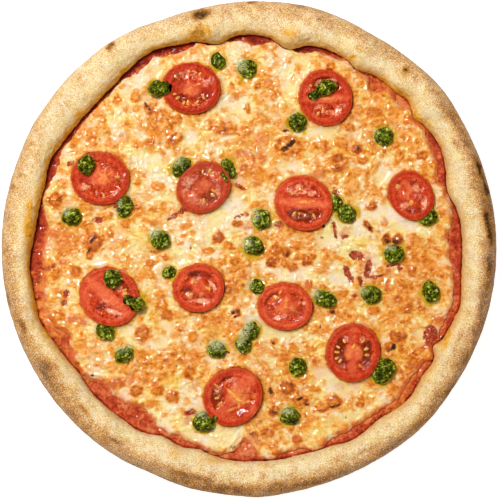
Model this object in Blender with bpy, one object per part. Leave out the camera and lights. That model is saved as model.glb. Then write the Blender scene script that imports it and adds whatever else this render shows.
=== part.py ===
"""A round thin pizza with sliced tomato and dollops of pesto, seen whole.

The frame is metres with +Z up. The origin lies under the middle of the crust, on the surface that it
rests on. Angles run counter-clockwise from +X, in degrees. The places of toppings, blisters and swells
are in millimetres, read from above with +Y away from the viewer.
"""

import math

import bmesh
import bpy
from mathutils import Matrix, Vector, noise

# Driving dimensions.
MM = 0.001
CRUST_R = 150 * MM  # mean outer radius
LIP_R = 129.7 * MM  # mean radius of the rim's inner lip
BASE_T = 4.5 * MM  # dough under the topping
RIM_H = 18 * MM  # mean height of the rim's crest
EDGE_Z = 7.5 * MM  # height at which the rim is widest
SAUCE_T = 1.2 * MM
CHEESE_T = 2.2 * MM
TOMATO_T = 4.4 * MM
GAP = 0.3 * MM  # air between pieces that touch

# The levels of the layers.
SAUCE_Z = BASE_T + GAP
CHEESE_Z = SAUCE_Z + SAUCE_T + GAP
SEAT_Z = CHEESE_Z + CHEESE_T
TOPPING_Z = SEAT_Z + GAP

# How finely each shape is divided.
ROUND_STEPS = 96  # the crust and the sauce share their steps, so their edges stay parallel
RIM_POINTS = 12
CHEESE_RINGS = 24
TOMATO_STEPS = 22

# Relief of the bread.
RIM_FULLNESS = 2.5  # 2 gives an elliptical rim, more a squarer one
UNDERCUT = 18  # degrees that the lip folds back under itself
LUMP_SIZE = 16 * MM
LUMP_HEIGHT = 2.2 * MM
# Air bubbles that lift the rim: angle, distance from the middle, radius, height.
RIM_BUBBLES = (
    (17, 143, 8, 1.4), (38, 141, 9, 1.6), (60, 134, 6, 1.2), (78, 133, 8, 1.8), (101, 140, 9, 1.8),
    (124, 141, 8, 1.2), (150, 142, 10, 1.5), (173, 136, 8, 1.4), (196, 141, 8, 1.2), (212, 138, 10, 1.6),
    (234, 142, 7, 1.2), (251, 133, 9, 1.8), (274, 141, 9, 1.5), (292, 139, 7, 1.2), (314, 141, 9, 1.5),
    (333, 135, 7, 1.5), (352, 141, 8, 1.4),
)

# Swells of an outline: angle, reach in degrees, outward amount in millimetres.
OUTER_SWELLS = (
    (40, 8, 1.7), (60, 4, -0.6), (76, 7, 0.8), (104, 12, -1.7), (111, 3, -0.8), (126, 5, 0.7),
    (137, 6, 0.8), (150, 4, 0.8), (246, 6, -1.2), (273, 6, 1.1), (313, 9, 1.1),
)
LIP_SWELLS = (
    (16, 5, -4.3), (29, 5, 1.8), (38, 2, -2.2), (43, 3, 2.0), (59, 3, -2.8), (79, 4.5, -6.4),
    (99, 4, -4.2), (117, 7, 3.6), (137, 9, -1.8), (156, 5, 2.3), (186, 8, 4.2), (199, 7, 4.4),
    (216, 3, -1.5), (246, 4, -4.0), (256, 5, -3.6), (299, 5, 3.0), (316, 7, 3.7), (328, 3, 1.6),
    (332, 2, -3.0), (344, 7, 3.0),
)
# Where the melted cheese runs out over the sauce, or stops short of the rim.
CHEESE_R = 126.0 * MM
CHEESE_SWELLS = (
    (3, 4, -5), (20, 3, -4), (37, 4, 6), (48, 2, 5), (52, 2, -5), (60, 2.5, 4), (76, 3, -4),
    (88, 3, -3), (102, 3, 5), (117, 3, 3), (127, 2, 2), (152, 3, 2), (166, 3, 3), (174, 3, -4),
    (197, 5, 3), (206, 2, -5), (215, 3, 4), (224, 5, -6), (237, 7, -9), (251, 5, -4), (269, 3, -8),
    (275, 2, 6), (289, 2, 5), (315, 5, 2), (331, 3, 7), (344, 4, 2), (357, 3, -4),
)
LIP_CLEARANCE = 0.6 * MM
CHEESE_EDGE = 0.35  # share of its thickness left at the cheese's edge

# Browned blisters and crags of the cheese: x, y, radius, height.
BLISTERS = (
    (-53, 73, 12.5, 1.5), (-16, 73, 9.0, 1.2), (24, 62, 8.0, 1.3), (-66, 89, 5.0, 1.1),
    (-97, 68, 4.5, 0.9), (-117, 28, 4.5, 1.0), (-55, 37, 4.5, 0.9), (57, 63, 5.5, 1.0),
    (70, 54, 5.0, 1.1), (98, 56, 6.5, 1.0), (46, 111, 4.5, 0.9), (67, 100, 4.5, 0.9),
    (76, 47, 6.0, 1.2), (76, 18, 6.5, 1.1), (88, 5, 6.5, 1.2), (106, 2, 5.0, 0.8),
    (-117, -17, 4.5, 0.9), (-116, -42, 4.5, 1.0), (-104, -2, 5.0, 0.9), (-65, -52, 5.0, 0.9),
    (-52, -33, 4.5, 0.9), (-74, -85, 6.0, 1.1), (-51, -88, 6.0, 1.0), (-36, -76, 5.0, 1.0),
    (-4, -75, 4.5, 0.8), (17, -62, 4.5, 0.8), (20, -114, 6.0, 1.0), (33, -92, 5.5, 1.2),
    (52, -93, 5.0, 1.0), (67, -93, 5.0, 1.0), (88, -57, 4.5, 0.9), (84, -37, 6.0, 1.0),
    (42, -11, 4.5, 0.8), (10, 52, 5.0, 0.8),
)
BLISTER_STEEPNESS = 1.2
BUBBLE_SIZE = 9 * MM
BUBBLE_HEIGHT = 0.5 * MM

# Tomato slices: x, y, radius, oval amount, its direction, then each seed chamber's (angle, half width).
TOMATOES = (
    (-35.0, 96.7, 16.6, 1.1, -5, ((90, 62), (270, 62))),
    (46.4, 90.9, 16.6, 0.6, -69, ((88, 55), (272, 58))),
    (-90.2, 42.1, 16.8, 1.0, -12, ((5, 48), (250, 45), (85, 25))),
    (-27.5, 36.6, 15.9, 1.1, 34, ((75, 48), (185, 32), (300, 52))),
    (33.1, 27.2, 17.1, 0.8, -30, ((85, 62), (272, 60))),
    (98.1, 31.8, 14.3, 1.2, -57, ((55, 38), (322, 28), (248, 34), (150, 28))),
    (-84.5, -29.7, 17.9, 0.8, -38, ((262, 45), (38, 45))),
    (-30.4, -24.3, 15.0, 0.5, 18, ((120, 34), (20, 34), (215, 34), (292, 34))),
    (21.8, -35.5, 15.5, 1.2, -6, ((150, 34), (215, 30), (30, 36), (322, 36))),
    (63.0, -63.5, 17.0, 0.7, 78, ((180, 62), (0, 62))),
    (-9.7, -90.2, 17.7, 0.8, 40, ((155, 58), (322, 58))),
)
CHAMBER_DEPTH = 1.2 * MM
CORE_SHARE = 0.24  # shares of the radius: the core, the floor of the chambers, the wall, the skin
FLOOR_SHARES = (0.38, 0.67)
WALL_SHARE = 0.77
SKIN_SHARE = 0.95
CHAMBER_SIDES = (6, -12)  # degrees from its half width over which a chamber's side drops
CUT_ROUGHNESS = 0.2 * MM
CUT_GRAIN = 4 * MM
SEED_SHARE = 0.54
SEED_HALVES = (1.5 * MM, 0.95 * MM, 0.6 * MM)
SEED_SPREAD = 30  # degrees of a chamber's half width for each of its seeds
SEED_ARC = 0.65  # share of a chamber's width that its seeds take

# Pesto dollops, each of one or two lobes: x, y, half length, half width, direction.
DOLLOPS = (
    ((-18.8, 113.3, 4.8, 4.5, 90),),
    ((-1.2, 108.8, 5.5, 5.4, 0),),
    ((-55.8, 96.7, 5.1, 4.8, 90), (-51.2, 96.7, 4.2, 3.9, 90)),
    ((46.4, 96.7, 6.7, 4.5, 25), (39.1, 92.4, 3.6, 3.0, 40)),
    ((29.4, 76.1, 5.6, 5.4, 30),),
    ((81.8, 67.6, 5.7, 5.4, -20),),
    ((-98.5, 50.0, 6.1, 5.2, 90),),
    ((-75.5, 24.8, 6.4, 4.8, 75),),
    ((-107.3, 18.8, 6.1, 5.2, 10),),
    ((-40.9, 48.8, 7.0, 4.8, 48),),
    ((-12.4, 47.6, 6.7, 3.9, 110),),
    ((-53.9, 4.8, 6.1, 5.5, -20),),
    ((7.6, 17.3, 6.1, 5.4, 90),),
    ((52.1, 27.3, 4.9, 4.7, 0), (59.1, 20.9, 5.8, 5.5, -30)),
    ((108.2, 18.8, 5.6, 5.4, 0),),
    ((3.0, 1.2, 6.4, 5.4, -25),),
    ((87.9, -3.6, 6.1, 5.5, 0),),
    ((-48.2, -14.8, 3.9, 3.6, 60),),
    ((-82.7, -18.5, 6.1, 5.2, 110),),
    ((-72.4, -31.5, 3.9, 3.1, -20), (-67.6, -34.2, 4.8, 4.5, -30)),
    ((-87.0, -50.3, 5.8, 5.0, -30),),
    ((-75.8, -64.8, 6.1, 4.5, 28),),
    ((4.8, -23.3, 4.8, 4.5, 90),),
    ((46.1, -30.9, 7.0, 4.8, -22),),
    ((74.2, -28.2, 6.4, 5.5, -10),),
    ((110.0, -26.7, 6.4, 5.2, 100),),
    ((-19.4, -61.5, 5.8, 4.8, 0),),
    ((-3.3, -58.5, 5.2, 4.8, 30), (1.2, -50.3, 5.8, 4.5, 65)),
    ((81.5, -74.5, 7.9, 6.4, 60),),
    ((24.8, -101.8, 5.8, 5.5, 0),),
    ((-27.3, -105.5, 6.7, 6.1, 0),),
    ((29.7, -72.1, 5.6, 5.4, -45),),
)
DOLLOP_RISE = 0.95  # height over the mean half width
DOLLOP_SINK = 0.2  # share of the height at which a dollop is widest
DOLLOP_LUMP = 0.13  # relief as a share of its size
DOLLOP_LUMPS = 1.6  # lumps across a half width
ON_TOMATO = {4: 2, 7: 3, 19: 7}  # dollop and the tomato that carries it whole
DRAPED = {3: 1, 20: 7}  # dollop that hangs over a tomato's edge
# Dollop and the tomato whose side shapes it.
BESIDE = {8: 3, 10: 4, 11: 4, 14: 5, 15: 6, 21: 7, 23: 9, 29: 10, 31: 11}

# Colours and finishes: red, green, blue, roughness.
COLOURS = {
    "crust": (0.62, 0.40, 0.20, 0.8),
    "sauce": (0.36, 0.05, 0.02, 0.45),
    "cheese": (0.85, 0.60, 0.28, 0.4),
    "tomato": (0.55, 0.06, 0.03, 0.3),
    "pesto": (0.07, 0.13, 0.01, 0.45),
}


def clear_scene():
    for thing in list(bpy.data.objects):
        bpy.data.objects.remove(thing, do_unlink=True)


def material(name):
    red, green, blue, roughness = COLOURS[name]
    made = bpy.data.materials.new(name)
    made.use_nodes = True
    shader = made.node_tree.nodes["Principled BSDF"]
    shader.inputs["Base Color"].default_value = (red, green, blue, 1)
    shader.inputs["Roughness"].default_value = roughness
    shader.inputs["Metallic"].default_value = 0
    made.diffuse_color = (red, green, blue, 1)
    return made


def add_object(name, bm, surface):
    """Turns a finished bmesh into a named, smooth-shaded object with one material."""
    bmesh.ops.recalc_face_normals(bm, faces=bm.faces)
    mesh = bpy.data.meshes.new(name)
    bm.to_mesh(mesh)
    bm.free()
    mesh.materials.append(surface)
    mesh.shade_smooth()
    made = bpy.data.objects.new(name, mesh)
    bpy.context.collection.objects.link(made)
    return made


def apply_boolean(target, others, operation):
    """Joins the other objects to target in one Boolean, or cuts them away, and removes them."""
    group = bpy.data.collections.new("operands")
    for other in others:
        group.objects.link(other)
    modifier = target.modifiers.new(operation.title(), "BOOLEAN")
    modifier.operation = operation
    modifier.solver = "EXACT"
    modifier.operand_type = "COLLECTION"
    modifier.collection = group
    bpy.context.view_layer.update()
    graph = bpy.context.evaluated_depsgraph_get()
    joined = bpy.data.meshes.new_from_object(target.evaluated_get(graph))
    target.modifiers.clear()
    target.data = joined
    for other in others:
        bpy.data.objects.remove(other, do_unlink=True)
    bpy.data.collections.remove(group)


def smoothstep(low, high, value):
    t = min(1.0, max(0.0, (value - low) / (high - low)))
    return t * t * (3 - 2 * t)


def turn_between(angle, other):
    """The signed turn in degrees from other to angle, at most half a circle."""
    return (angle - other + 180) % 360 - 180


def swollen(radius, swells, angle):
    """An outline's radius at an angle: a mean radius with soft swells and hollows."""
    return radius + MM * sum(
        amount * math.exp(-((turn_between(angle, at) / reach) ** 2)) for at, reach, amount in swells
    )


def outer_radius(angle):
    return swollen(CRUST_R, OUTER_SWELLS, angle)


def lip_radius(angle):
    return swollen(LIP_R, LIP_SWELLS, angle)


def cheese_radius(angle):
    return min(swollen(CHEESE_R, CHEESE_SWELLS, angle), lip_radius(angle) - LIP_CLEARANCE)


def spin_section(section, steps):
    """A closed solid turned from (radius, height) points whose first and last lie on the axis."""
    bm = bmesh.new()
    verts = [bm.verts.new((radius, 0, height)) for radius, height in section]
    edges = [bm.edges.new(pair) for pair in zip(verts, verts[1:])]
    bmesh.ops.spin(
        bm, geom=verts + edges, cent=(0, 0, 0), axis=(0, 0, 1),
        angle=2 * math.pi, steps=steps, use_merge=True,
    )
    bmesh.ops.remove_doubles(bm, verts=bm.verts, dist=0.001 * MM)
    return bm


def polar(point):
    return math.hypot(point.x, point.y), math.degrees(math.atan2(point.y, point.x))


def place_polar(vert, radius, angle):
    vert.co.x = radius * math.cos(math.radians(angle))
    vert.co.y = radius * math.sin(math.radians(angle))


def rim_section():
    """The rim's round section, from its foot over the crest to the undercut lip."""
    middle = (CRUST_R + LIP_R) / 2
    half = (CRUST_R - LIP_R) / 2
    power = 2 / RIM_FULLNESS
    points = []
    for step in range(RIM_POINTS + 1):
        phi = math.radians(-90 + (270 + UNDERCUT) * step / RIM_POINTS)
        across = math.copysign(abs(math.cos(phi)) ** power, math.cos(phi))
        up = math.copysign(abs(math.sin(phi)) ** power, math.sin(phi))
        reach = RIM_H - EDGE_Z if up > 0 else EDGE_Z
        points.append((middle + half * across, max(0.0, EDGE_Z + reach * up)))
    return points


def bread_lift(x, y):
    """How far lumps and air bubbles lift the bread over its even section."""
    lift = LUMP_HEIGHT * noise.noise(Vector((x, y, 0)) / LUMP_SIZE)
    for angle, distance, radius, rise in RIM_BUBBLES:
        at_x = distance * MM * math.cos(math.radians(angle))
        at_y = distance * MM * math.sin(math.radians(angle))
        away = math.hypot(x - at_x, y - at_y) / (radius * MM)
        lift += rise * MM * math.exp(-(away**2))
    return lift


def make_crust(surface):
    rim = rim_section()
    lip_foot = (rim[-1][0], BASE_T)
    bm = spin_section([(0, 0)] + rim[:-1] + [lip_foot, (0, BASE_T)], ROUND_STEPS)
    for vert in bm.verts:
        radius, angle = polar(vert.co)
        if radius < MM:
            continue
        share = (radius - LIP_R) / (CRUST_R - LIP_R)
        lift = bread_lift(vert.co.x, vert.co.y) * smoothstep(BASE_T, RIM_H, vert.co.z)
        lip, outer = lip_radius(angle), outer_radius(angle)
        place_polar(vert, lip + share * (outer - lip), angle)
        vert.co.z += lift
    return add_object("crust", bm, surface)


def make_sauce(surface):
    """A thin layer that fills the hollow of the crust out to the lip."""
    edge = LIP_R - LIP_CLEARANCE
    shoulder = edge - SAUCE_T
    top = SAUCE_Z + SAUCE_T
    section = [(0, SAUCE_Z), (edge, SAUCE_Z), (edge, top - SAUCE_T / 3), (shoulder, top), (0, top)]
    bm = spin_section(section, ROUND_STEPS)
    for vert in bm.verts:
        radius, angle = polar(vert.co)
        if radius > MM:
            place_polar(vert, radius + lip_radius(angle) - LIP_R, angle)
    return add_object("sauce", bm, surface)


def hexagon_reach(angle):
    """The distance from the middle to the side of a hexagon with a corner on +Y at radius 1."""
    return math.cos(math.pi / 6) / math.cos(math.radians((angle + 30) % 60 - 30))


def topping_spots():
    """The middle and reach of each topping that lies on the cheese."""
    spots = [(x * MM, y * MM, (radius + oval) * MM) for x, y, radius, oval, *_ in TOMATOES]
    for number, lobes in enumerate(DOLLOPS, 1):
        if number not in ON_TOMATO:
            spots += [(x * MM, y * MM, half * MM) for x, y, half, *_ in lobes]
    return spots


def cheese_relief(x, y):
    """Height of the melted surface over the level on which the toppings lie."""
    height = BUBBLE_HEIGHT * noise.noise(Vector((x, y, 0.05)) / BUBBLE_SIZE)
    for at_x, at_y, radius, rise in BLISTERS:
        away = math.hypot(x - at_x * MM, y - at_y * MM) / (radius * MM)
        height += rise * MM * math.exp(-((BLISTER_STEEPNESS * away) ** 2))
    return height


def make_cheese(surface):
    """Melted cheese with a ragged edge and browned blisters, flat where a topping lies on it."""
    bm = bmesh.new()
    bmesh.ops.create_circle(bm, cap_ends=True, cap_tris=True, segments=6, radius=1)
    bmesh.ops.subdivide_edges(bm, edges=bm.edges, cuts=CHEESE_RINGS - 1, use_grid_fill=True)
    bmesh.ops.triangulate(bm, faces=bm.faces)
    top_verts = list(bm.verts)
    rim_edges = [edge for edge in bm.edges if edge.is_boundary]
    wall = bmesh.ops.extrude_edge_only(bm, edges=rim_edges)["geom"]
    foot_edges = [item for item in wall if isinstance(item, bmesh.types.BMEdge) and item.is_boundary]
    foot_verts = [item for item in wall if isinstance(item, bmesh.types.BMVert)]
    floor = bmesh.ops.edgeloop_fill(bm, edges=foot_edges)["faces"]
    bmesh.ops.poke(bm, faces=floor)
    spacing = CHEESE_R / CHEESE_RINGS
    spots = topping_spots()
    for vert in top_verts:
        radius, angle = polar(vert.co)
        share = radius / hexagon_reach(angle)
        edge = cheese_radius(angle)
        place_polar(vert, share * edge, angle)
        x, y = vert.co.x, vert.co.y
        height = cheese_relief(x, y)
        for at_x, at_y, reach in spots:
            near = math.hypot(x - at_x, y - at_y) - reach
            height *= smoothstep(spacing, 2 * spacing, near)
        inward = smoothstep(0, spacing, (1 - share) * edge)
        thickness = CHEESE_T * (CHEESE_EDGE + (1 - CHEESE_EDGE) * inward)
        vert.co.z = CHEESE_Z + thickness + height * inward
    for vert in foot_verts:
        radius, angle = polar(vert.co)
        place_polar(vert, cheese_radius(angle), angle)
    for vert in bm.verts:
        if vert not in top_verts:
            vert.co.z = CHEESE_Z
    return add_object("cheese", bm, surface)


def tomato_radius(number, angle):
    _, _, radius, oval, direction, _ = TOMATOES[number - 1]
    return MM * (radius + oval * math.cos(2 * math.radians(angle - direction)))


def chamber_depth(number, share, angle):
    """How far the soft seed chambers have sunk below the cut face, from 0 to 1."""
    if not CORE_SHARE + 0.01 < share < WALL_SHARE - 0.01:
        return 0.0
    outside, inside = CHAMBER_SIDES
    return max(
        smoothstep(wide + outside, wide + inside, abs(turn_between(angle, at)))
        for at, wide in TOMATOES[number - 1][5]
    )


def make_seeds(number, surface):
    """Seeds half sunk in the floor of each chamber, side by side and pointing at the core."""
    x, y = (value * MM for value in TOMATOES[number - 1][:2])
    seeds = []
    for at, wide in TOMATOES[number - 1][5]:
        count = round(wide / SEED_SPREAD)
        for index in range(count):
            angle = at + 2 * SEED_ARC * wide * ((index + 0.5) / count - 0.5)
            reach = SEED_SHARE * tomato_radius(number, angle)
            turn = Matrix.Rotation(math.radians(angle), 3, "Z")
            bm = bmesh.new()
            bmesh.ops.create_icosphere(bm, subdivisions=1, radius=1)
            bmesh.ops.scale(bm, verts=bm.verts, vec=SEED_HALVES)
            bmesh.ops.translate(bm, verts=bm.verts, vec=(reach, 0, TOPPING_Z + TOMATO_T - CHAMBER_DEPTH))
            bmesh.ops.rotate(bm, verts=bm.verts, matrix=turn)
            bmesh.ops.translate(bm, verts=bm.verts, vec=(x, y, 0))
            seeds.append(add_object("seed", bm, surface))
    return seeds


def make_tomato(number, surface):
    """A slice with a skin, a firm wall, and sunken seed chambers between the walls that cross it."""
    x, y, radius = (value * MM for value in TOMATOES[number - 1][:3])
    section = [(0, 0), (SKIN_SHARE, 0), (1, TOMATO_T / 2), (SKIN_SHARE, TOMATO_T)]
    section += [(share, TOMATO_T) for share in (WALL_SHARE, *reversed(FLOOR_SHARES), CORE_SHARE, 0)]
    bm = spin_section([(share * radius, height) for share, height in section], TOMATO_STEPS)
    for vert in bm.verts:
        reach, angle = polar(vert.co)
        share = reach / radius
        place_polar(vert, share * tomato_radius(number, angle), angle)
        if vert.co.z > TOMATO_T / 2 and share < SKIN_SHARE - 0.01:
            grain = (1 + noise.noise(Vector((vert.co.x, vert.co.y, number * MM)) / CUT_GRAIN)) / 2
            vert.co.z -= CHAMBER_DEPTH * chamber_depth(number, share, angle) + CUT_ROUGHNESS * grain
    bmesh.ops.translate(bm, verts=bm.verts, vec=(x, y, TOPPING_Z))
    tomato = add_object(f"tomato_{number:02d}", bm, surface)
    apply_boolean(tomato, make_seeds(number, surface), "UNION")
    return tomato


def tomato_clearance(number, low, high):
    """A prism one gap wider than the slice, which shapes the pesto beside it."""
    bm = bmesh.new()
    bmesh.ops.create_cone(
        bm, cap_ends=True, segments=TOMATO_STEPS, radius1=1, radius2=1, depth=high - low,
    )
    for vert in bm.verts:
        angle = polar(vert.co)[1]
        place_polar(vert, (tomato_radius(number, angle) + GAP) / math.cos(math.pi / TOMATO_STEPS), angle)
    x, y = (value * MM for value in TOMATOES[number - 1][:2])
    bmesh.ops.translate(bm, verts=bm.verts, vec=(x, y, (low + high) / 2))
    return add_object("clearance", bm, bpy.data.materials["tomato"])


def make_lobe(name, lobe, seat, lift, surface):
    """One lumpy round drop of pesto, cut flat where it lies."""
    x, y, half_length, half_width, direction = lobe
    size = MM * (half_length + half_width) / 2
    height = DOLLOP_RISE * size + lift
    bm = bmesh.new()
    bmesh.ops.create_icosphere(bm, subdivisions=2, radius=1)
    for vert in bm.verts:
        lump = noise.noise(vert.co * DOLLOP_LUMPS + Vector((x, y, 0)))
        vert.co *= 1 + DOLLOP_LUMP * lump
    bmesh.ops.scale(
        bm, verts=bm.verts, vec=(half_length * MM, half_width * MM, height * (1 - DOLLOP_SINK)),
    )
    bmesh.ops.rotate(bm, verts=bm.verts, matrix=Matrix.Rotation(math.radians(direction), 3, "Z"))
    bmesh.ops.translate(bm, verts=bm.verts, vec=(x * MM, y * MM, seat + DOLLOP_SINK * height))
    return add_object(name, bm, surface)


def flatten_foot(pesto, seat):
    """Flattens what reaches below the seat into one face."""
    bm = bmesh.new()
    bm.from_mesh(pesto.data)
    for vert in bm.verts:
        vert.co.z = max(seat, vert.co.z)
    under = [face for face in bm.faces if all(vert.co.z <= seat for vert in face.verts)]
    bmesh.ops.dissolve_faces(bm, faces=under, use_verts=True)
    bm.to_mesh(pesto.data)
    bm.free()


def make_pesto(number, surface):
    """One dollop: its lobes joined, flat underneath, and clear of the tomato it leans on."""
    name = f"pesto_{number:02d}"
    tomato_top = TOPPING_Z + TOMATO_T + GAP
    seat = tomato_top if number in ON_TOMATO else TOPPING_Z
    lift = TOMATO_T if number in DRAPED else 0
    lobes = DOLLOPS[number - 1]
    pesto = make_lobe(name, lobes[0], seat, lift, surface)
    if len(lobes) > 1:
        others = [make_lobe("lobe", lobe, seat, lift, surface) for lobe in lobes[1:]]
        apply_boolean(pesto, others, "UNION")
    flatten_foot(pesto, seat)
    if number in DRAPED:
        apply_boolean(pesto, [tomato_clearance(DRAPED[number], 0, tomato_top)], "DIFFERENCE")
    if number in BESIDE:
        apply_boolean(pesto, [tomato_clearance(BESIDE[number], 0, 2 * tomato_top)], "DIFFERENCE")
    return pesto


def centre_on_origin(pieces):
    """Moves every piece so that the crust's box is centred over the origin."""
    corners = [Vector(corner) for corner in bpy.data.objects["crust"].bound_box]
    middle = (corners[0] + corners[6]) / 2
    for piece in pieces:
        piece.location.x -= middle.x
        piece.location.y -= middle.y


def main():
    clear_scene()
    surfaces = {name: material(name) for name in COLOURS}
    pieces = [
        make_crust(surfaces["crust"]),
        make_sauce(surfaces["sauce"]),
        make_cheese(surfaces["cheese"]),
    ]
    pieces += [make_tomato(number, surfaces["tomato"]) for number in range(1, len(TOMATOES) + 1)]
    pieces += [make_pesto(number, surfaces["pesto"]) for number in range(1, len(DOLLOPS) + 1)]
    centre_on_origin(pieces)


main()
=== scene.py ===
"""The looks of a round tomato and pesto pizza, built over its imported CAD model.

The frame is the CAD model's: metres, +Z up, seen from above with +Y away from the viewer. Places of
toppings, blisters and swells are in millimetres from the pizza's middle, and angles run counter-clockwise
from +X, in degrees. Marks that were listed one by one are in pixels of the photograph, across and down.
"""

import math

import bmesh
import bpy
import numpy as np
from mathutils import Matrix, Vector, noise


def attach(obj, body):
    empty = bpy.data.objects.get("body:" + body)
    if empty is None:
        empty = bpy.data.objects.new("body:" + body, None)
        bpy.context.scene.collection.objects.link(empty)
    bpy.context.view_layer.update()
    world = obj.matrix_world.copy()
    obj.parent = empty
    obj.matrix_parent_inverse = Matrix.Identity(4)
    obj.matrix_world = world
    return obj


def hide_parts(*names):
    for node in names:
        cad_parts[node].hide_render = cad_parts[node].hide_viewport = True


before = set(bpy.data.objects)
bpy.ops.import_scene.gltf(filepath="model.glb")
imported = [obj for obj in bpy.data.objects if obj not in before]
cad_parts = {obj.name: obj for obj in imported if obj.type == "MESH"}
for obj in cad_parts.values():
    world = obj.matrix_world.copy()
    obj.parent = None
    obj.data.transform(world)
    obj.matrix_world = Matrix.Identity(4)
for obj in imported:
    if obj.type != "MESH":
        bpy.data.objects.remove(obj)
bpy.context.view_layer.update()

# ---------------------------------------------------------------- sizes, as in the part's source

MM = 0.001
CRUST_R = 150.0
LIP_R = 129.7
BASE_T = 4.5
RIM_H = 18.0
EDGE_Z = 7.5
SAUCE_T = 1.2
CHEESE_T = 2.2
TOMATO_T = 4.4
GAP = 0.3
SAUCE_Z = BASE_T + GAP
SAUCE_TOP = SAUCE_Z + SAUCE_T
CHEESE_Z = SAUCE_TOP + GAP
TOPPING_Z = CHEESE_Z + CHEESE_T + GAP
TOMATO_TOP = TOPPING_Z + TOMATO_T
ROUND_STEPS = 96  # of the crust's outline in the part

RIM_FULLNESS = 2.5  # 2 is a round section, more is squarer
UNDERCUT = 18  # degrees that the section goes on under the lip
LUMP_SIZE = 16
LUMP_HEIGHT = 2.2
# Air bubbles in the rim: angle, distance from the middle, radius, rise.
RIM_BUBBLES = (
    (17, 143, 8, 1.4), (38, 141, 9, 1.6), (60, 134, 6, 1.2), (78, 133, 8, 1.8), (101, 140, 9, 1.8),
    (124, 141, 8, 1.2), (150, 142, 10, 1.5), (173, 136, 8, 1.4), (196, 141, 8, 1.2), (212, 138, 10, 1.6),
    (234, 142, 7, 1.2), (251, 133, 9, 1.8), (274, 141, 9, 1.5), (292, 139, 7, 1.2), (314, 141, 9, 1.5),
    (333, 135, 7, 1.5), (352, 141, 8, 1.4),
)
# Swells and hollows of an outline: angle, reach in degrees, amount.
OUTER_SWELLS = (
    (40, 8, 1.7), (60, 4, -0.6), (76, 7, 0.8), (104, 12, -1.7), (111, 3, -0.8), (126, 5, 0.7),
    (137, 6, 0.8), (150, 4, 0.8), (246, 6, -1.2), (273, 6, 1.1), (313, 9, 1.1),
)
LIP_SWELLS = (
    (16, 5, -4.3), (29, 5, 1.8), (38, 2, -2.2), (43, 3, 2.0), (59, 3, -2.8), (79, 4.5, -6.4), (99, 4, -4.2),
    (117, 7, 3.6), (137, 9, -1.8), (156, 5, 2.3), (186, 8, 4.2), (199, 7, 4.4), (216, 3, -1.5),
    (246, 4, -4.0), (256, 5, -3.6), (299, 5, 3.0), (316, 7, 3.7), (328, 3, 1.6), (332, 2, -3.0),
    (344, 7, 3.0),
)
CHEESE_R = 126.0
CHEESE_SWELLS = (
    (3, 4, -5), (20, 3, -4), (37, 4, 6), (48, 2, 5), (52, 2, -5), (60, 2.5, 4), (76, 3, -4), (88, 3, -3),
    (102, 3, 5), (117, 3, 3), (127, 2, 2), (152, 3, 2), (166, 3, 3), (174, 3, -4), (197, 5, 3),
    (206, 2, -5), (215, 3, 4), (224, 5, -6), (237, 7, -9), (251, 5, -4), (269, 3, -8), (275, 2, 6),
    (289, 2, 5), (315, 5, 2), (331, 3, 7), (344, 4, 2), (357, 3, -4),
)
LIP_CLEARANCE = 0.6  # the least gap between cheese and bread
CHEESE_EDGE = 0.35  # share of its thickness that the cheese has at its edge

# Tomato slices: x, y, radius, oval amount, its direction, then each seed chamber's (angle, half width).
TOMATOES = (
    (-35.0, 96.7, 16.6, 1.1, -5, ((90, 62), (270, 62))),
    (46.4, 90.9, 16.6, 0.6, -69, ((88, 55), (272, 58))),
    (-90.2, 42.1, 16.8, 1.0, -12, ((5, 48), (250, 45), (85, 25))),
    (-27.5, 36.6, 15.9, 1.1, 34, ((75, 48), (185, 32), (300, 52))),
    (33.1, 27.2, 17.1, 0.8, -30, ((85, 62), (272, 60))),
    (98.1, 31.8, 14.3, 1.2, -57, ((55, 38), (322, 28), (248, 34), (150, 28))),
    (-84.5, -29.7, 17.9, 0.8, -38, ((262, 45), (38, 45))),
    (-30.4, -24.3, 15.0, 0.5, 18, ((120, 34), (20, 34), (215, 34), (292, 34))),
    (21.8, -35.5, 15.5, 1.2, -6, ((150, 34), (215, 30), (30, 36), (322, 36))),
    (63.0, -63.5, 17.0, 0.7, 78, ((180, 62), (0, 62))),
    (-9.7, -90.2, 17.7, 0.8, 40, ((155, 58), (322, 58))),
)

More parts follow.
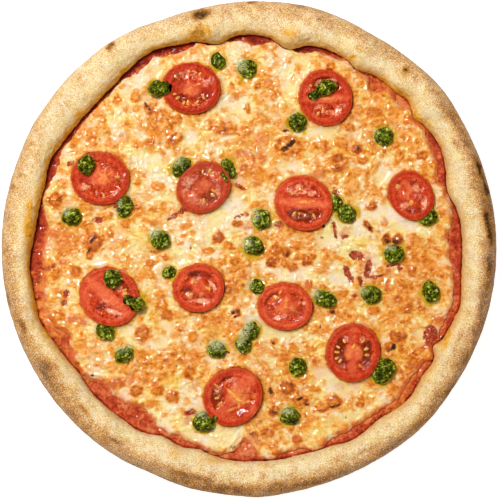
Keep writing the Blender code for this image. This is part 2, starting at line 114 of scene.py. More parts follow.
# Pesto dollops, each of one or two lobes: x, y, half length, half width, direction.
DOLLOPS = (
    ((-18.8, 113.3, 4.8, 4.5, 90),),
    ((-1.2, 108.8, 5.5, 5.4, 0),),
    ((-55.8, 96.7, 5.1, 4.8, 90), (-51.2, 96.7, 4.2, 3.9, 90)),
    ((46.4, 96.7, 6.7, 4.5, 25), (39.1, 92.4, 3.6, 3.0, 40)),
    ((29.4, 76.1, 5.6, 5.4, 30),),
    ((81.8, 67.6, 5.7, 5.4, -20),),
    ((-98.5, 50.0, 6.1, 5.2, 90),),
    ((-75.5, 24.8, 6.4, 4.8, 75),),
    ((-107.3, 18.8, 6.1, 5.2, 10),),
    ((-40.9, 48.8, 7.0, 4.8, 48),),
    ((-12.4, 47.6, 6.7, 3.9, 110),),
    ((-53.9, 4.8, 6.1, 5.5, -20),),
    ((7.6, 17.3, 6.1, 5.4, 90),),
    ((52.1, 27.3, 4.9, 4.7, 0), (59.1, 20.9, 5.8, 5.5, -30)),
    ((108.2, 18.8, 5.6, 5.4, 0),),
    ((3.0, 1.2, 6.4, 5.4, -25),),
    ((87.9, -3.6, 6.1, 5.5, 0),),
    ((-48.2, -14.8, 3.9, 3.6, 60),),
    ((-82.7, -18.5, 6.1, 5.2, 110),),
    ((-72.4, -31.5, 3.9, 3.1, -20), (-67.6, -34.2, 4.8, 4.5, -30)),
    ((-87.0, -50.3, 5.8, 5.0, -30),),
    ((-75.8, -64.8, 6.1, 4.5, 28),),
    ((4.8, -23.3, 4.8, 4.5, 90),),
    ((46.1, -30.9, 7.0, 4.8, -22),),
    ((74.2, -28.2, 6.4, 5.5, -10),),
    ((110.0, -26.7, 6.4, 5.2, 100),),
    ((-19.4, -61.5, 5.8, 4.8, 0),),
    ((-3.3, -58.5, 5.2, 4.8, 30), (1.2, -50.3, 5.8, 4.5, 65)),
    ((81.5, -74.5, 7.9, 6.4, 60),),
    ((24.8, -101.8, 5.8, 5.5, 0),),
    ((-27.3, -105.5, 6.7, 6.1, 0),),
    ((29.7, -72.1, 5.6, 5.4, -45),),
)
DOLLOP_RISE = 0.95  # height of a dollop as a share of its mean half size
DOLLOP_SINK = 0.2  # share of its height that lies under its widest level
ON_TOMATO = {4: 2, 7: 3, 19: 7}  # dollop and the tomato that carries it whole
DRAPED = {3: 1, 20: 7}  # dollop that hangs over a tomato's edge
# Dollop and the tomato that shapes its side.
BESIDE = {8: 3, 10: 4, 11: 4, 14: 5, 15: 6, 21: 7, 23: 9, 29: 10, 31: 11}
SLICES = range(1, len(TOMATOES) + 1)
DOLLOP_NUMBERS = range(1, len(DOLLOPS) + 1)

# ---------------------------------------------------------------- how the photograph was taken

PHOTO_MIDDLE = (249, 248)  # pixel over the pizza's middle
PHOTO_CENTRE = 250  # pixel at the middle of the frame, each way
PHOTO_SIDE = 500
PIXELS_PER_MM = 1.65
CAMERA_HEIGHT = 1.7  # metres
FOCUS_Z = 0.010  # metres, level at which the photograph's scale holds
SENSOR = 36.0  # millimetres, of the camera


def photo_mm(across, down):
    """Millimetres from the pizza's middle of a pixel of the photograph."""
    return (across - PHOTO_MIDDLE[0]) / PIXELS_PER_MM, (PHOTO_MIDDLE[1] - down) / PIXELS_PER_MM


# ---------------------------------------------------------------- marks on the rim

# Charred and toasted marks: angle, distance in pixels, half length along the rim in degrees, half width in
# pixels, strength, from 0 to 1 for toast and above that darker; the darkest are charred.
RIM_MARKS = (
    (3, 240.5, 2.4, 2.6, 1.5), (7.5, 238.5, 2.0, 2.4, 1.6), (14, 243.5, 1.9, 1.9, 1.6),
    (19, 243, 2.0, 1.9, 1.9), (13.5, 225, 0.8, 2.4, 0.5), (26.5, 230, 2.2, 2.2, 0.45),
    (48.6, 235.6, 0.8, 4.2, 0.9), (48.5, 235.6, 0.4, 1.6, 1.5), (46, 214, 2.4, 4.5, 0.7),
    (51, 213, 1.8, 3.0, 0.6), (61.5, 216, 0.7, 2.6, 0.75), (61, 225, 1.2, 3.0, 0.3),
    (38, 213, 1.6, 2.0, 0.6), (73, 238, 0.8, 2.2, 0.5), (79, 218, 2.2, 5.0, 0.55), (80, 217, 0.5, 1.6, 0.9),
    (78, 246, 1.8, 2.4, 0.5), (89.5, 245, 0.7, 1.6, 1.1), (101.6, 237.5, 2.1, 4.2, 1.4),
    (103, 221, 2.6, 6.0, 1.0), (102.4, 227, 0.4, 3.0, 0.6), (100.4, 219, 0.4, 3.6, 0.7),
    (99, 224, 0.35, 2.6, 0.6), (124.5, 243.5, 1.1, 3.0, 1.3), (135, 239, 0.8, 2.2, 0.55),
    (142, 216, 0.8, 2.0, 0.6), (157, 230, 3.0, 3.0, 0.3), (165.5, 243.5, 0.9, 2.6, 0.9),
    (174, 221.5, 5.0, 3.6, 0.75), (169, 223, 1.5, 2.6, 0.6), (192, 245, 1.4, 1.3, 1.0),
    (199, 238, 1.8, 2.4, 0.7), (210, 232, 2.6, 6.0, 0.5), (212, 240, 3.0, 3.6, 0.5),
    (212, 225, 1.4, 1.8, 0.6), (225, 230.5, 1.5, 1.8, 0.95), (223.4, 229, 0.9, 1.4, 0.8),
    (227.6, 232.5, 0.8, 1.4, 0.6), (235, 234, 1.6, 2.0, 0.6), (250, 217, 2.4, 5.0, 0.45),
    (260, 216, 2.6, 3.6, 0.45), (252, 234, 3.4, 2.6, 0.55), (258.5, 234, 3.4, 2.6, 0.5),
    (274, 226, 1.2, 3.0, 0.4), (277, 236.5, 1.2, 1.8, 0.9), (292.5, 227, 2.2, 3.0, 0.6),
    (299, 232, 1.2, 1.8, 0.5), (325, 246.5, 1.6, 1.8, 1.2), (336, 227.5, 6.0, 2.4, 0.5),
    (334.5, 217.5, 2.6, 2.4, 0.6), (351, 240, 0.8, 1.8, 1.2), (356, 240, 2.4, 2.8, 0.8),
    (345, 238, 3.0, 3.0, 0.5), (264, 240, 7.0, 4.0, 0.35), (285, 242, 8.0, 3.0, 0.3),
    (308, 243, 8.0, 3.0, 0.35), (31, 240, 4.0, 3.0, 0.4),
)

# How toasted the rim's outer side is: angle and share; the rest lies between.
RIM_TOAST = (
    (0, 0.6), (20, 0.58), (35, 0.42), (50, 0.34), (75, 0.3), (95, 0.26), (110, 0.22), (125, 0.12),
    (145, 0.12), (155, 0.25), (175, 0.32), (188, 0.42), (200, 0.44), (215, 0.46), (235, 0.44), (250, 0.52),
    (270, 0.52), (290, 0.47), (310, 0.42), (330, 0.54), (345, 0.6), (360, 0.6),
)

# How golden the bread's inner edge is: angle and share; the rest lies between.
LIP_GOLD = (
    (0, 0.45), (20, 0.45), (38, 0.8), (55, 0.7), (80, 0.7), (100, 0.85), (150, 0.9), (205, 0.9),
    (220, 0.15), (290, 0.1), (320, 0.6), (345, 0.6), (360, 0.45),
)

# ---------------------------------------------------------------- marks on the cheese

# A mark is an oval: across, down, half length and half width in pixels, direction in degrees, amount.
# Broad stretches that are paler (below 0) or more golden (above 0) than the rest.
ZONES = (
    (132, 80, 24, 12, 30, -0.16), (205, 60, 26, 9, 5, -0.1), (236, 104, 14, 12, 0, -0.2),
    (190, 138, 10, 14, 0, -0.14), (152, 162, 26, 10, 0, -0.16), (112, 118, 14, 9, 0, -0.1),
    (66, 160, 10, 14, 60, -0.08), (158, 180, 20, 16, 0, -0.12), (222, 208, 26, 14, -20, -0.2),
    (212, 236, 34, 20, 0, -0.16), (132, 242, 18, 14, 0, -0.08), (290, 78, 17, 22, 0, -0.15),
    (322, 132, 22, 8, 0, -0.16), (298, 168, 18, 8, 0, -0.16), (388, 176, 13, 13, 0, -0.18),
    (388, 216, 10, 22, 80, -0.22), (420, 226, 20, 9, -10, -0.14), (338, 234, 18, 18, 0, -0.2),
    (96, 262, 18, 7, 0, -0.2), (60, 292, 14, 8, 0, -0.06), (97, 328, 9, 9, 0, -0.12),
    (158, 344, 18, 9, 10, -0.14), (186, 392, 22, 18, 0, -0.13), (208, 436, 30, 12, -20, -0.2),
    (236, 434, 22, 12, 0, -0.12), (158, 420, 16, 10, -30, -0.12), (178, 258, 18, 12, 0, -0.16),
    (256, 312, 9, 30, 90, -0.16), (284, 335, 30, 7, 0, -0.14), (328, 384, 26, 14, 10, -0.16),
    (376, 262, 16, 12, 0, -0.14), (360, 236, 16, 12, 0, -0.18), (420, 330, 14, 16, 50, -0.16),
    (344, 416, 28, 9, 20, -0.12), (318, 432, 22, 8, 10, -0.06), (340, 276, 12, 16, 90, -0.16),
    (290, 272, 26, 9, 0, -0.12), (262, 196, 12, 9, 0, -0.1), (128, 332, 10, 8, 0, -0.1),
    (425, 195, 12, 30, 90, -0.08), (88, 134, 20, 16, 50, 0.1), (102, 102, 16, 9, 50, 0.1),
    (250, 160, 24, 34, 0, 0.1), (272, 82, 14, 26, 90, 0.06), (84, 236, 34, 22, 0, 0.11),
    (56, 270, 14, 44, 90, 0.1), (140, 214, 14, 24, 90, 0.09), (160, 258, 18, 10, 0, 0.1),
    (332, 156, 30, 20, 0, 0.1), (390, 130, 46, 32, -50, 0.1), (376, 186, 22, 22, 0, 0.08),
    (420, 254, 18, 34, 80, 0.12), (156, 366, 60, 26, -15, 0.11), (160, 305, 18, 20, 0, 0.07),
    (236, 286, 18, 26, 90, 0.12), (218, 326, 24, 16, 0, 0.08), (282, 252, 56, 22, -10, 0.12),
    (330, 300, 26, 20, 0, 0.1), (408, 300, 46, 34, -80, 0.13), (412, 362, 34, 26, 50, 0.14),
    (290, 398, 40, 34, 0, 0.14), (312, 346, 20, 20, 0, 0.09), (262, 434, 26, 14, 0, 0.12),
    (58, 330, 14, 12, 0, 0.1), (236, 172, 14, 8, 0, 0.04), (354, 406, 18, 12, 20, 0.08),
    (186, 226, 16, 10, 0, 0.05), (198, 355, 18, 14, 0, 0.06),
)
# Browned blisters: a dome with a darker ring.
BLISTERS = (
    (55, 200, 8, 8, 0, 0.78), (63, 195, 4, 4, 0, 0.62), (62, 184, 6, 5, 0, 0.55), (108, 216, 5, 5, 0, 0.62),
    (109, 234, 4, 4, 0, 0.62), (125, 224, 5, 5, 0, 0.66), (93, 243, 11, 9, 95, 0.84),
    (90, 256, 4, 4, 0, 0.72), (138, 182, 4.5, 4.5, 0, 0.56), (158, 187, 7, 6, 0, 0.58),
    (55, 274, 5, 5, 0, 0.68), (51, 264, 4, 4, 0, 0.62), (76, 271, 6, 6, 0, 0.72), (58, 316, 7, 7, 0, 0.68),
    (143, 334, 9, 8, 0, 0.75), (118, 383, 7, 6, 0, 0.74), (136, 391, 7, 6, 0, 0.78),
    (172, 397, 8, 6, -20, 0.78), (189, 372, 7, 6, 0, 0.74), (157, 391, 7, 5, 0, 0.72),
    (163, 377, 7, 4, 35, 0.64), (167, 315, 7, 6, 0, 0.78), (160, 295, 5, 6, 0, 0.6),
    (162, 305, 7, 6, 0, 0.66), (193, 337, 5, 7, 0, 0.64), (164, 333, 3, 3, 0, 0.52),
    (218, 238, 7, 6, 20, 0.84), (228, 246, 6, 5, -20, 0.68), (208, 251, 7, 4, 10, 0.64),
    (222, 261, 5, 4, 0, 0.62), (237, 224, 5, 4, 0, 0.78), (235, 262, 6, 5, 0, 0.72),
    (247, 262, 5, 5, 0, 0.62), (272, 262, 6, 6, 0, 0.86), (276, 250, 7, 6, 0, 0.74),
    (286, 253, 5, 7, 0, 0.82), (285, 263, 6, 4, 0, 0.7), (293, 267, 6, 5, 0, 0.8),
    (307, 261, 6, 6, 0, 0.82), (300, 257, 5, 4, 0, 0.64), (313, 256, 4, 3, 0, 0.72),
    (296, 245, 7, 5, 20, 0.66), (321, 270, 7, 5, 0, 0.68), (309, 285, 4, 5, 0, 0.76),
    (322, 287, 4, 3, 0, 0.68), (343, 294, 6, 4, 0, 0.7), (374, 310, 6, 6, 0, 0.7),
    (406, 308, 7, 6, 0, 0.74), (398, 300, 6, 4, 0, 0.64), (412, 271, 5, 5, 0, 0.74),
    (380, 270, 4, 4, 0, 0.64), (417, 239, 6, 5, 0, 0.68), (401, 336, 6, 6, 0, 0.8),
    (390, 346, 6, 5, 0, 0.84), (413, 362, 6, 5, 0, 0.78), (288, 388, 8.5, 8, 0, 0.9),
    (334, 402, 8, 7, 0, 0.8), (322, 408, 8, 5, -10, 0.72), (314, 388, 6, 4, 0, 0.64),
    (361, 402, 7, 4, 65, 0.76), (275, 411, 8, 5, 0, 0.84), (268, 433, 8, 6, 0, 0.78),
    (297, 440, 5, 5, 0, 0.84), (277, 453, 6, 3, 0, 0.72), (236, 313, 5, 5, 0, 0.86),
    (228, 290, 6, 6, 0, 0.78), (234, 283, 5, 4, 0, 0.7), (318, 65, 3.5, 3.5, 0, 0.58),
    (331, 66, 5.5, 5, 0, 0.68), (374, 113, 8, 7, 0, 0.74), (350, 128, 5, 5, 0, 0.68),
    (342, 144, 7, 6, 0, 0.64), (357, 149, 5, 6, 0, 0.88), (338, 158, 6, 5, 0, 0.78),
    (345, 161, 4, 5, 0, 0.72), (338, 168, 7, 4, 0, 0.82), (363, 160, 6, 5, 0, 0.68),
    (399, 156, 5, 8, 0, 0.66), (423, 155, 7, 4, 10, 0.8), (371, 207, 6, 5, 0, 0.74),
    (368, 226, 7, 4, -40, 0.9), (384, 222, 3.5, 6, 0, 0.68), (387, 240, 5, 7, 0, 0.86),
    (398, 240, 6, 7, 0, 0.9), (408, 120, 6, 5, 0, 0.62), (397, 145, 5, 4, 0, 0.68),
    (359, 110, 4, 5, 0, 0.58), (360, 84, 4, 4, 0, 0.58), (136, 97, 6, 6, 0, 0.6), (117, 99, 5, 6, 0, 0.62),
    (90, 135, 5, 6, 0, 0.6), (236, 96, 4, 5, 0, 0.66), (258, 86, 4, 5, 0, 0.74), (247, 108, 4, 6, 0, 0.66),
    (263, 119, 5, 8, 80, 0.62), (76, 367, 10, 3.5, -52, 0.86), (52, 342, 3, 8, -60, 0.6),
    (253, 434, 5, 3, 0, 0.8), (396, 337, 9, 6, -35, 0.78), (418, 352, 7, 3, 20, 0.74),
)
# Broad browned patches, rough and wrinkled.
PATCHES = (
    (160, 124, 17, 16, 0, 0.74), (149, 110, 8, 5, -45, 0.9), (175, 120, 8, 6, 20, 0.76),
    (149, 143, 8, 5, 30, 0.86), (174, 140, 11, 6, 35, 0.88), (223, 128, 17, 8, 0, 0.78),
    (243, 131, 6, 9, 90, 0.78), (210, 122, 5, 4, 0, 0.6), (289, 146, 17, 12, 0, 0.78),
    (284, 122, 5, 11, 90, 0.66), (243, 139, 9, 8, 0, 0.62), (300, 400, 11, 7, -10, 0.8),
    (262, 84, 6, 10, 90, 0.6), (372, 170, 12, 4, 45, 0.62), (278, 256, 12, 12, 0, 0.66),
    (240, 262, 11, 8, 0, 0.6), (338, 162, 11, 10, 0, 0.66), (400, 304, 16, 10, 0, 0.62),
    (352, 190, 11, 4, 40, 0.64), (236, 284, 13, 9, 30, 0.64), (96, 354, 9, 10, 0, 0.52),
    (384, 122, 14, 5, 0, 0.6), (102, 128, 8, 6, 0, 0.54), (120, 366, 18, 7, 0, 0.56),
)
# Small golden spots without a dome.
SPOTS = (
    (84, 206, 6, 3, 0, 0.52), (88, 226, 8, 3, 0, 0.6), (58, 232, 8, 8, 0, 0.55), (66, 246, 9, 9, 0, 0.52),
    (137, 176, 8, 6, 0, 0.48), (146, 220, 5, 3, 0, 0.7), (133, 207, 4, 8, 90, 0.7),
    (116, 256, 4, 3, 0, 0.6), (129, 258, 4, 3, 0, 0.6), (124, 243, 5, 5, 0, 0.55), (57, 291, 6, 4, 0, 0.64),
    (62, 326, 7, 4, 0, 0.6), (80, 345, 8, 6, 0, 0.55), (152, 300, 5, 12, 90, 0.5),
    (143, 355, 8, 5, 0, 0.58), (122, 86, 4, 3, 0, 0.6), (137, 90, 4, 3, 0, 0.55), (136, 108, 5, 5, 0, 0.58),
    (152, 151, 4, 3, 0, 0.56), (163, 155, 3, 4, 0, 0.6), (187, 152, 5, 5, 0, 0.56),
    (165, 160, 4, 4, 0, 0.6), (108, 133, 3, 3, 0, 0.6), (103, 120, 4, 5, 0, 0.55),
    (133, 173, 5, 8, 90, 0.56), (193, 51, 5, 4, 0, 0.55), (163, 62, 3, 2, 0, 0.6), (244, 55, 3, 4, 0, 0.6),
    (232, 86, 3, 3, 0, 0.68), (242, 93, 4, 6, 90, 0.64), (225, 110, 5, 4, 0, 0.52),
    (195, 128, 4, 3, 0, 0.58), (275, 95, 8, 4, 60, 0.62), (306, 163, 4, 4, 0, 0.66),
    (262, 176, 12, 7, 0, 0.54), (245, 172, 6, 5, 0, 0.54), (256, 204, 5, 4, 0, 0.66),
    (298, 68, 4, 6, 0, 0.54), (293, 80, 3, 5, 0, 0.56), (348, 76, 4, 3, 0, 0.6), (372, 88, 5, 4, 0, 0.62),
    (354, 95, 5, 6, 0, 0.54), (365, 122, 4, 4, 0, 0.6), (391, 110, 8, 4, 0, 0.56),
    (403, 137, 3, 2, 0, 0.72), (325, 142, 6, 3, 0, 0.58), (416, 250, 5, 9, 0, 0.54),
    (338, 258, 6, 3, 0, 0.64), (252, 240, 3, 2, 0, 0.6), (244, 317, 5, 3, 0, 0.66),
    (274, 341, 4, 4, 0, 0.72), (258, 345, 4, 3, 0, 0.64), (292, 345, 4, 4, 0, 0.66),
    (284, 357, 8, 5, 0, 0.66), (307, 425, 5, 3, 0, 0.58), (334, 311, 6, 4, 0, 0.7),
    (350, 305, 6, 4, 0, 0.55), (385, 375, 5, 4, 0, 0.6), (402, 350, 4, 4, 0, 0.68),
    (440, 322, 6, 6, 0, 0.66), (440, 296, 7, 5, 0, 0.6), (172, 354, 3, 2.5, 0, 0.72),
    (156, 341, 6, 3, 0, 0.54), (142, 343, 6, 3, 0, 0.56), (175, 335, 5, 7, 90, 0.5),
    (195, 366, 5, 4, 0, 0.56), (206, 324, 6, 5, 0, 0.56), (220, 318, 5, 4, 0, 0.6),
    (186, 402, 5, 5, 0, 0.56), (150, 403, 6, 5, 0, 0.55), (186, 226, 8, 4, 20, 0.58),
    (193, 233, 4, 3, 0, 0.66), (183, 236, 3, 3, 0, 0.66), (181, 243, 4, 3, 0, 0.58),
    (163, 204, 4, 3, 0, 0.62), (155, 209, 4, 4, 0, 0.66), (152, 222, 6, 4, 0, 0.6),
    (157, 251, 6, 3, 20, 0.8), (165, 257, 5, 4, 0, 0.72), (150, 263, 5, 4, 0, 0.66),
    (430, 120, 5, 3, -40, 0.5), (425, 128, 9, 4, -20, 0.58), (398, 165, 5, 4, 0, 0.58),
    (412, 160, 6, 3, 0, 0.6), (363, 245, 3, 2, 0, 0.55), (443, 212, 4, 6, 90, 0.62),
    (430, 264, 6, 8, 90, 0.6), (383, 322, 7, 5, 0, 0.46), (372, 430, 5, 3, 20, 0.56),
    (340, 424, 8, 4, 10, 0.5),
)
# Pale pools of smooth melted cheese.
POOLS = (
    (236, 105, 10, 8, 0, 0.95), (245, 117, 6, 4, 0, 0.8), (238, 180, 8, 5, 0, 0.9),
    (237, 195, 8, 5, 0, 0.9), (225, 205, 9, 6, -20, 0.7), (273, 196, 7, 5, 0, 0.7),
    (190, 136, 8, 8, 0, 0.6), (156, 160, 15, 8, 0, 0.6), (158, 72, 8, 8, 0, 0.7), (118, 120, 8, 5, 0, 0.5),
    (302, 60, 10, 5, 0, 0.7), (291, 86, 8, 9, 0, 0.7), (322, 132, 14, 5, 0, 0.7), (295, 168, 11, 6, 0, 0.7),
    (383, 175, 9, 8, 0, 0.9), (388, 215, 8, 22, 90, 0.9), (404, 226, 12, 6, 0, 0.8),
    (324, 240, 8, 8, 0, 0.9), (352, 233, 8, 5, 0, 0.9), (340, 224, 6, 6, 0, 0.8), (96, 262, 13, 5, 0, 0.8),
    (131, 252, 4, 4, 0, 0.7), (118, 232, 7, 5, 0, 0.6), (113, 241, 6, 5, 0, 0.5), (68, 205, 6, 5, 0, 0.5),
    (97, 326, 5, 6, 0, 0.7), (127, 331, 8, 5, 0, 0.6), (96, 370, 6, 3, 20, 0.9), (160, 343, 10, 5, 20, 0.9),
    (167, 326, 9, 5, 0, 0.5), (126, 397, 6, 5, 0, 0.95), (200, 405, 10, 6, 10, 0.6),
    (190, 436, 11, 5, -15, 0.9), (208, 442, 9, 5, -20, 0.8), (213, 430, 8, 6, 0, 0.7),
    (228, 436, 8, 6, 60, 0.6), (254, 322, 5, 16, 80, 0.7), (276, 334, 16, 5, 0, 0.6),
    (322, 372, 6, 12, 80, 0.8), (340, 388, 12, 6, -10, 0.8), (358, 386, 9, 5, 0, 0.6),
    (374, 262, 9, 6, 0, 0.7), (420, 334, 8, 5, 40, 0.9), (421, 346, 6, 4, 0, 0.8),
    (437, 336, 4, 6, 90, 0.5), (340, 278, 7, 9, 90, 0.8), (292, 272, 16, 5, -5, 0.6),
    (185, 262, 9, 5, 0, 0.7), (212, 222, 12, 8, 0, 0.6), (350, 418, 10, 4, 20, 0.7),
    (366, 326, 6, 5, -30, 0.5), (433, 150, 3, 10, 100, 0.5), (452, 212, 2.5, 8, 100, 0.8),
    (143, 66, 5, 4, 0, 0.6), (388, 330, 8, 8, 0, 0.35),
)
# Bright yellow curds.
YELLOWS = (
    (363, 241, 8, 4, 15, 0.9), (128, 206, 3, 4, 0, 0.4), (172, 382, 10, 6, 0, 0.5),
    (330, 420, 14, 5, 15, 0.5), (315, 272, 10, 4, 20, 0.7), (140, 240, 10, 10, 0, 0.4),
    (160, 345, 7, 3, 0, 0.5), (205, 135, 4, 3, 0, 0.5), (318, 430, 9, 6, 0, 0.5), (212, 330, 9, 5, 0, 0.4),
    (445, 340, 4, 7, 90, 0.5), (154, 216, 5, 5, 0, 0.4), (161, 168, 14, 7, 0, 0.35),
    (120, 118, 8, 5, 0, 0.35), (320, 345, 8, 8, 0, 0.35),
)
# Holes and cracks where the sauce shows through.
HOLES = (
    (60, 341, 9, 8, 20, 1.0), (431, 336, 7, 11, 0, 1.0), (349, 275, 9, 3, -65, 0.95),
    (368, 269, 9, 3.5, 80, 1.0), (357, 256, 8, 4, -12, 0.85), (335, 230, 9, 1.8, -78, 0.95),
    (361, 281, 6, 2.4, -75, 0.9), (136, 67, 9, 5, 30, 0.9), (71, 163, 4.5, 2.4, 30, 0.7),
    (98, 220, 6, 3, 0, 0.7), (66, 294, 3.5, 5, 0, 0.7), (64, 303, 4, 3, 0, 0.6),
    (240, 187, 8, 1.8, -22, 0.8), (173, 217, 7, 2.4, 32, 0.7), (184, 210, 6, 3, 30, 0.75),
    (392, 265, 6, 2.4, 15, 0.75), (400, 268, 2.5, 5, 0, 0.7), (376, 277, 9, 1.4, 8, 0.8),
    (336, 193, 4, 4, 0, 0.7), (190, 413, 7, 3, 12, 0.8), (355, 296, 3.5, 2.6, 0, 0.8),
    (191, 248, 1.6, 4, 0, 0.6), (426, 347, 5, 2, 20, 0.6), (48, 268, 3, 12, 90, 0.5),
    (241, 216, 9, 2, 12, 0.5), (279, 224, 5, 4, 0, 0.6), (151, 425, 6, 3, 0, 0.7), (232, 448, 4, 3, 0, 0.5),
    (345, 236, 4, 2.5, 0, 0.6), (116, 206, 3, 3, 0, 0.6),
)
# Reddish stains, thinner than a hole.
STAINS = (
    (72, 319, 7, 5, 0, 0.6), (83, 322, 5, 3, 0, 0.8), (72, 355, 7, 6, 0, 0.7), (64, 262, 4, 3, 0, 0.6),
    (113, 206, 4, 4, 0, 0.5), (124, 137, 6, 5, 0, 0.4), (116, 154, 6, 4, 0, 0.4), (262, 140, 8, 7, 0, 0.45),
    (245, 153, 9, 4, 0, 0.55), (258, 157, 8, 5, 0, 0.4), (268, 82, 6, 4, 0, 0.5), (289, 172, 5, 2, 0, 0.6),
    (318, 175, 9, 4, -20, 0.6), (328, 180, 7, 3, -30, 0.4), (200, 125, 2, 1.6, 0, 0.8),
    (248, 226, 10, 4, 0, 0.45), (279, 226, 7, 5, 0, 0.5), (245, 275, 7, 4, 0, 0.5),
    (321, 270, 8, 6, 0, 0.35), (309, 284, 4, 5, 0, 0.5), (387, 284, 4, 6, 0, 0.5),
    (345, 232, 7, 6, 0, 0.45), (366, 262, 7, 8, 0, 0.5), (382, 290, 8, 8, 0, 0.3),
    (60, 240, 12, 30, 95, 0.3), (128, 380, 16, 8, 0, 0.3), (154, 384, 5, 3, 0, 0.5),
    (195, 385, 5, 5, 0, 0.5), (190, 420, 7, 7, 0, 0.35), (260, 374, 3, 9, 80, 0.5),
    (297, 438, 6, 4, 0, 0.5), (425, 347, 8, 3, 10, 0.6), (436, 318, 6, 6, 0, 0.4), (340, 128, 5, 4, 0, 0.4),
    (394, 96, 5, 3, -30, 0.7), (381, 90, 4, 3, 0, 0.5), (196, 214, 4, 3, 0, 0.5), (340, 387, 6, 4, 0, 0.3),
    (232, 100, 3, 3, 0, 0.3), (85, 318, 6, 4, 0, 0.4), (252, 440, 10, 4, 0, 0.5), (388, 272, 8, 6, 0, 0.4),
    (408, 384, 8, 4, 35, 0.5), (420, 365, 6, 3, 35, 0.4), (240, 300, 8, 10, 0, 0.2),
)
# Burnt cracks and specks, and dark bits of herb.
CRACKS = (
    (147, 106, 5, 1.2, -50, 0.9), (152, 112, 1.6, 1.2, 0, 0.6), (286, 131, 3, 1.8, 0, 1.0),
    (291, 143, 5, 2.4, 35, 1.2), (285, 149, 4, 2.2, 20, 1.1), (60, 198, 6, 1.0, 45, 0.8),
    (93, 240, 4, 1.2, 30, 1.0), (89, 251, 4, 1.2, 60, 0.9), (84, 243, 2, 1, 0, 0.5),
    (358, 149, 1.6, 3, 0, 1.0), (337, 156, 2.4, 1.2, 0, 0.7), (338, 168, 3, 1.2, 0, 0.6),
    (370, 228, 2.6, 2.0, -40, 1.1), (365, 224, 4, 1, -50, 0.6), (387, 241, 2.4, 3, 0, 0.8),
    (396, 242, 3, 3, 0, 0.9), (361, 281, 1.6, 3, 0, 0.7), (368, 269, 1.8, 1.6, 0, 0.9),
    (357, 256, 1.6, 1.4, 0, 0.5), (394, 347, 2.4, 3, 0, 1.4), (390, 350, 4, 1.6, 0, 0.6),
    (300, 399, 4, 1.4, 25, 1.1), (306, 404, 3, 2, -40, 0.9), (335, 406, 6, 1.3, 15, 0.9),
    (321, 410, 4, 1, 0, 0.4), (271, 391, 2, 3, 0, 1.0), (265, 393, 1.2, 1.4, 0, 0.6),
    (274, 412, 4, 1.6, 0, 0.8), (233, 312, 1.6, 2, 0, 1.0), (238, 311, 2, 1.4, 0, 0.9),
    (236, 317, 1.4, 2, 0, 0.8), (244, 285, 1.8, 1.2, 0, 0.9), (232, 278, 2, 1, 0, 0.4),
    (333, 312, 2.4, 1.6, 30, 1.3), (287, 254, 1.4, 3.4, 0, 0.9), (271, 264, 2, 2, 0, 0.6),
    (307, 263, 2, 1.4, 0, 0.5), (274, 343, 1.6, 1.2, 0, 0.9), (321, 327, 1.0, 1.6, 0, 0.9),
    (280, 385, 1.0, 1.0, 0, 0.9), (92, 376, 1.8, 1.2, 0, 1.2), (177, 366, 1.6, 1.2, 0, 0.6),
    (324, 226, 1.8, 1.8, 0, 1.2), (229, 313, 1.2, 1.2, 0, 0.6), (228, 352, 2, 1.4, 0, 0.8),
    (252, 434, 2.4, 1.2, 0, 1.0), (258, 436, 1.2, 1.2, 0, 0.6), (322, 238, 2, 1.4, 0, 0.5),
    (268, 239, 1, 1, 0, 0.6), (152, 251, 3, 1, 30, 0.5), (346, 418, 1, 1.6, 0, 0.5),
    (215, 239, 2, 1.4, 0, 0.5), (375, 207, 2, 1.4, 0, 0.4), (436, 333, 1.6, 2, 0, 0.8),
)
# Painted sheen: pale patches painted on the lit side of some dollops and on the cheese next to them, where the
# lamp's reflection shows on the oil.
PAINTED_SHEENS = (
    (241, 64, 5, 7, 0, 0.9), (119, 201, 3, 8, -10, 0.7), (66, 211, 5, 4, 40, 0.7),
    (178, 161, 8, 4, 40, 0.7), (154, 232, 7, 4, 40, 0.9), (255, 214, 4, 6, 0, 0.9),
    (247, 243, 5, 4, 50, 0.9), (389, 248, 5, 3, 20, 0.8), (124, 348, 9, 3, 15, 0.6),
    (249, 284, 3, 5, 0, 0.7), (315, 293, 4, 5, 0, 0.8), (363, 291, 4, 4, 45, 0.7), (217, 344, 8, 5, 0, 1.0),
    (245, 331, 14, 4, 68, 1.0), (286, 411, 7, 3, 10, 0.9), (202, 413, 7, 4, 10, 0.8),
    (262, 279, 3, 2, 0, 0.3), (163, 266, 3, 2, 30, 0.5), (376, 134, 2, 6, 0, 0.3),
    (293, 115, 5, 2, 30, 0.3),
)
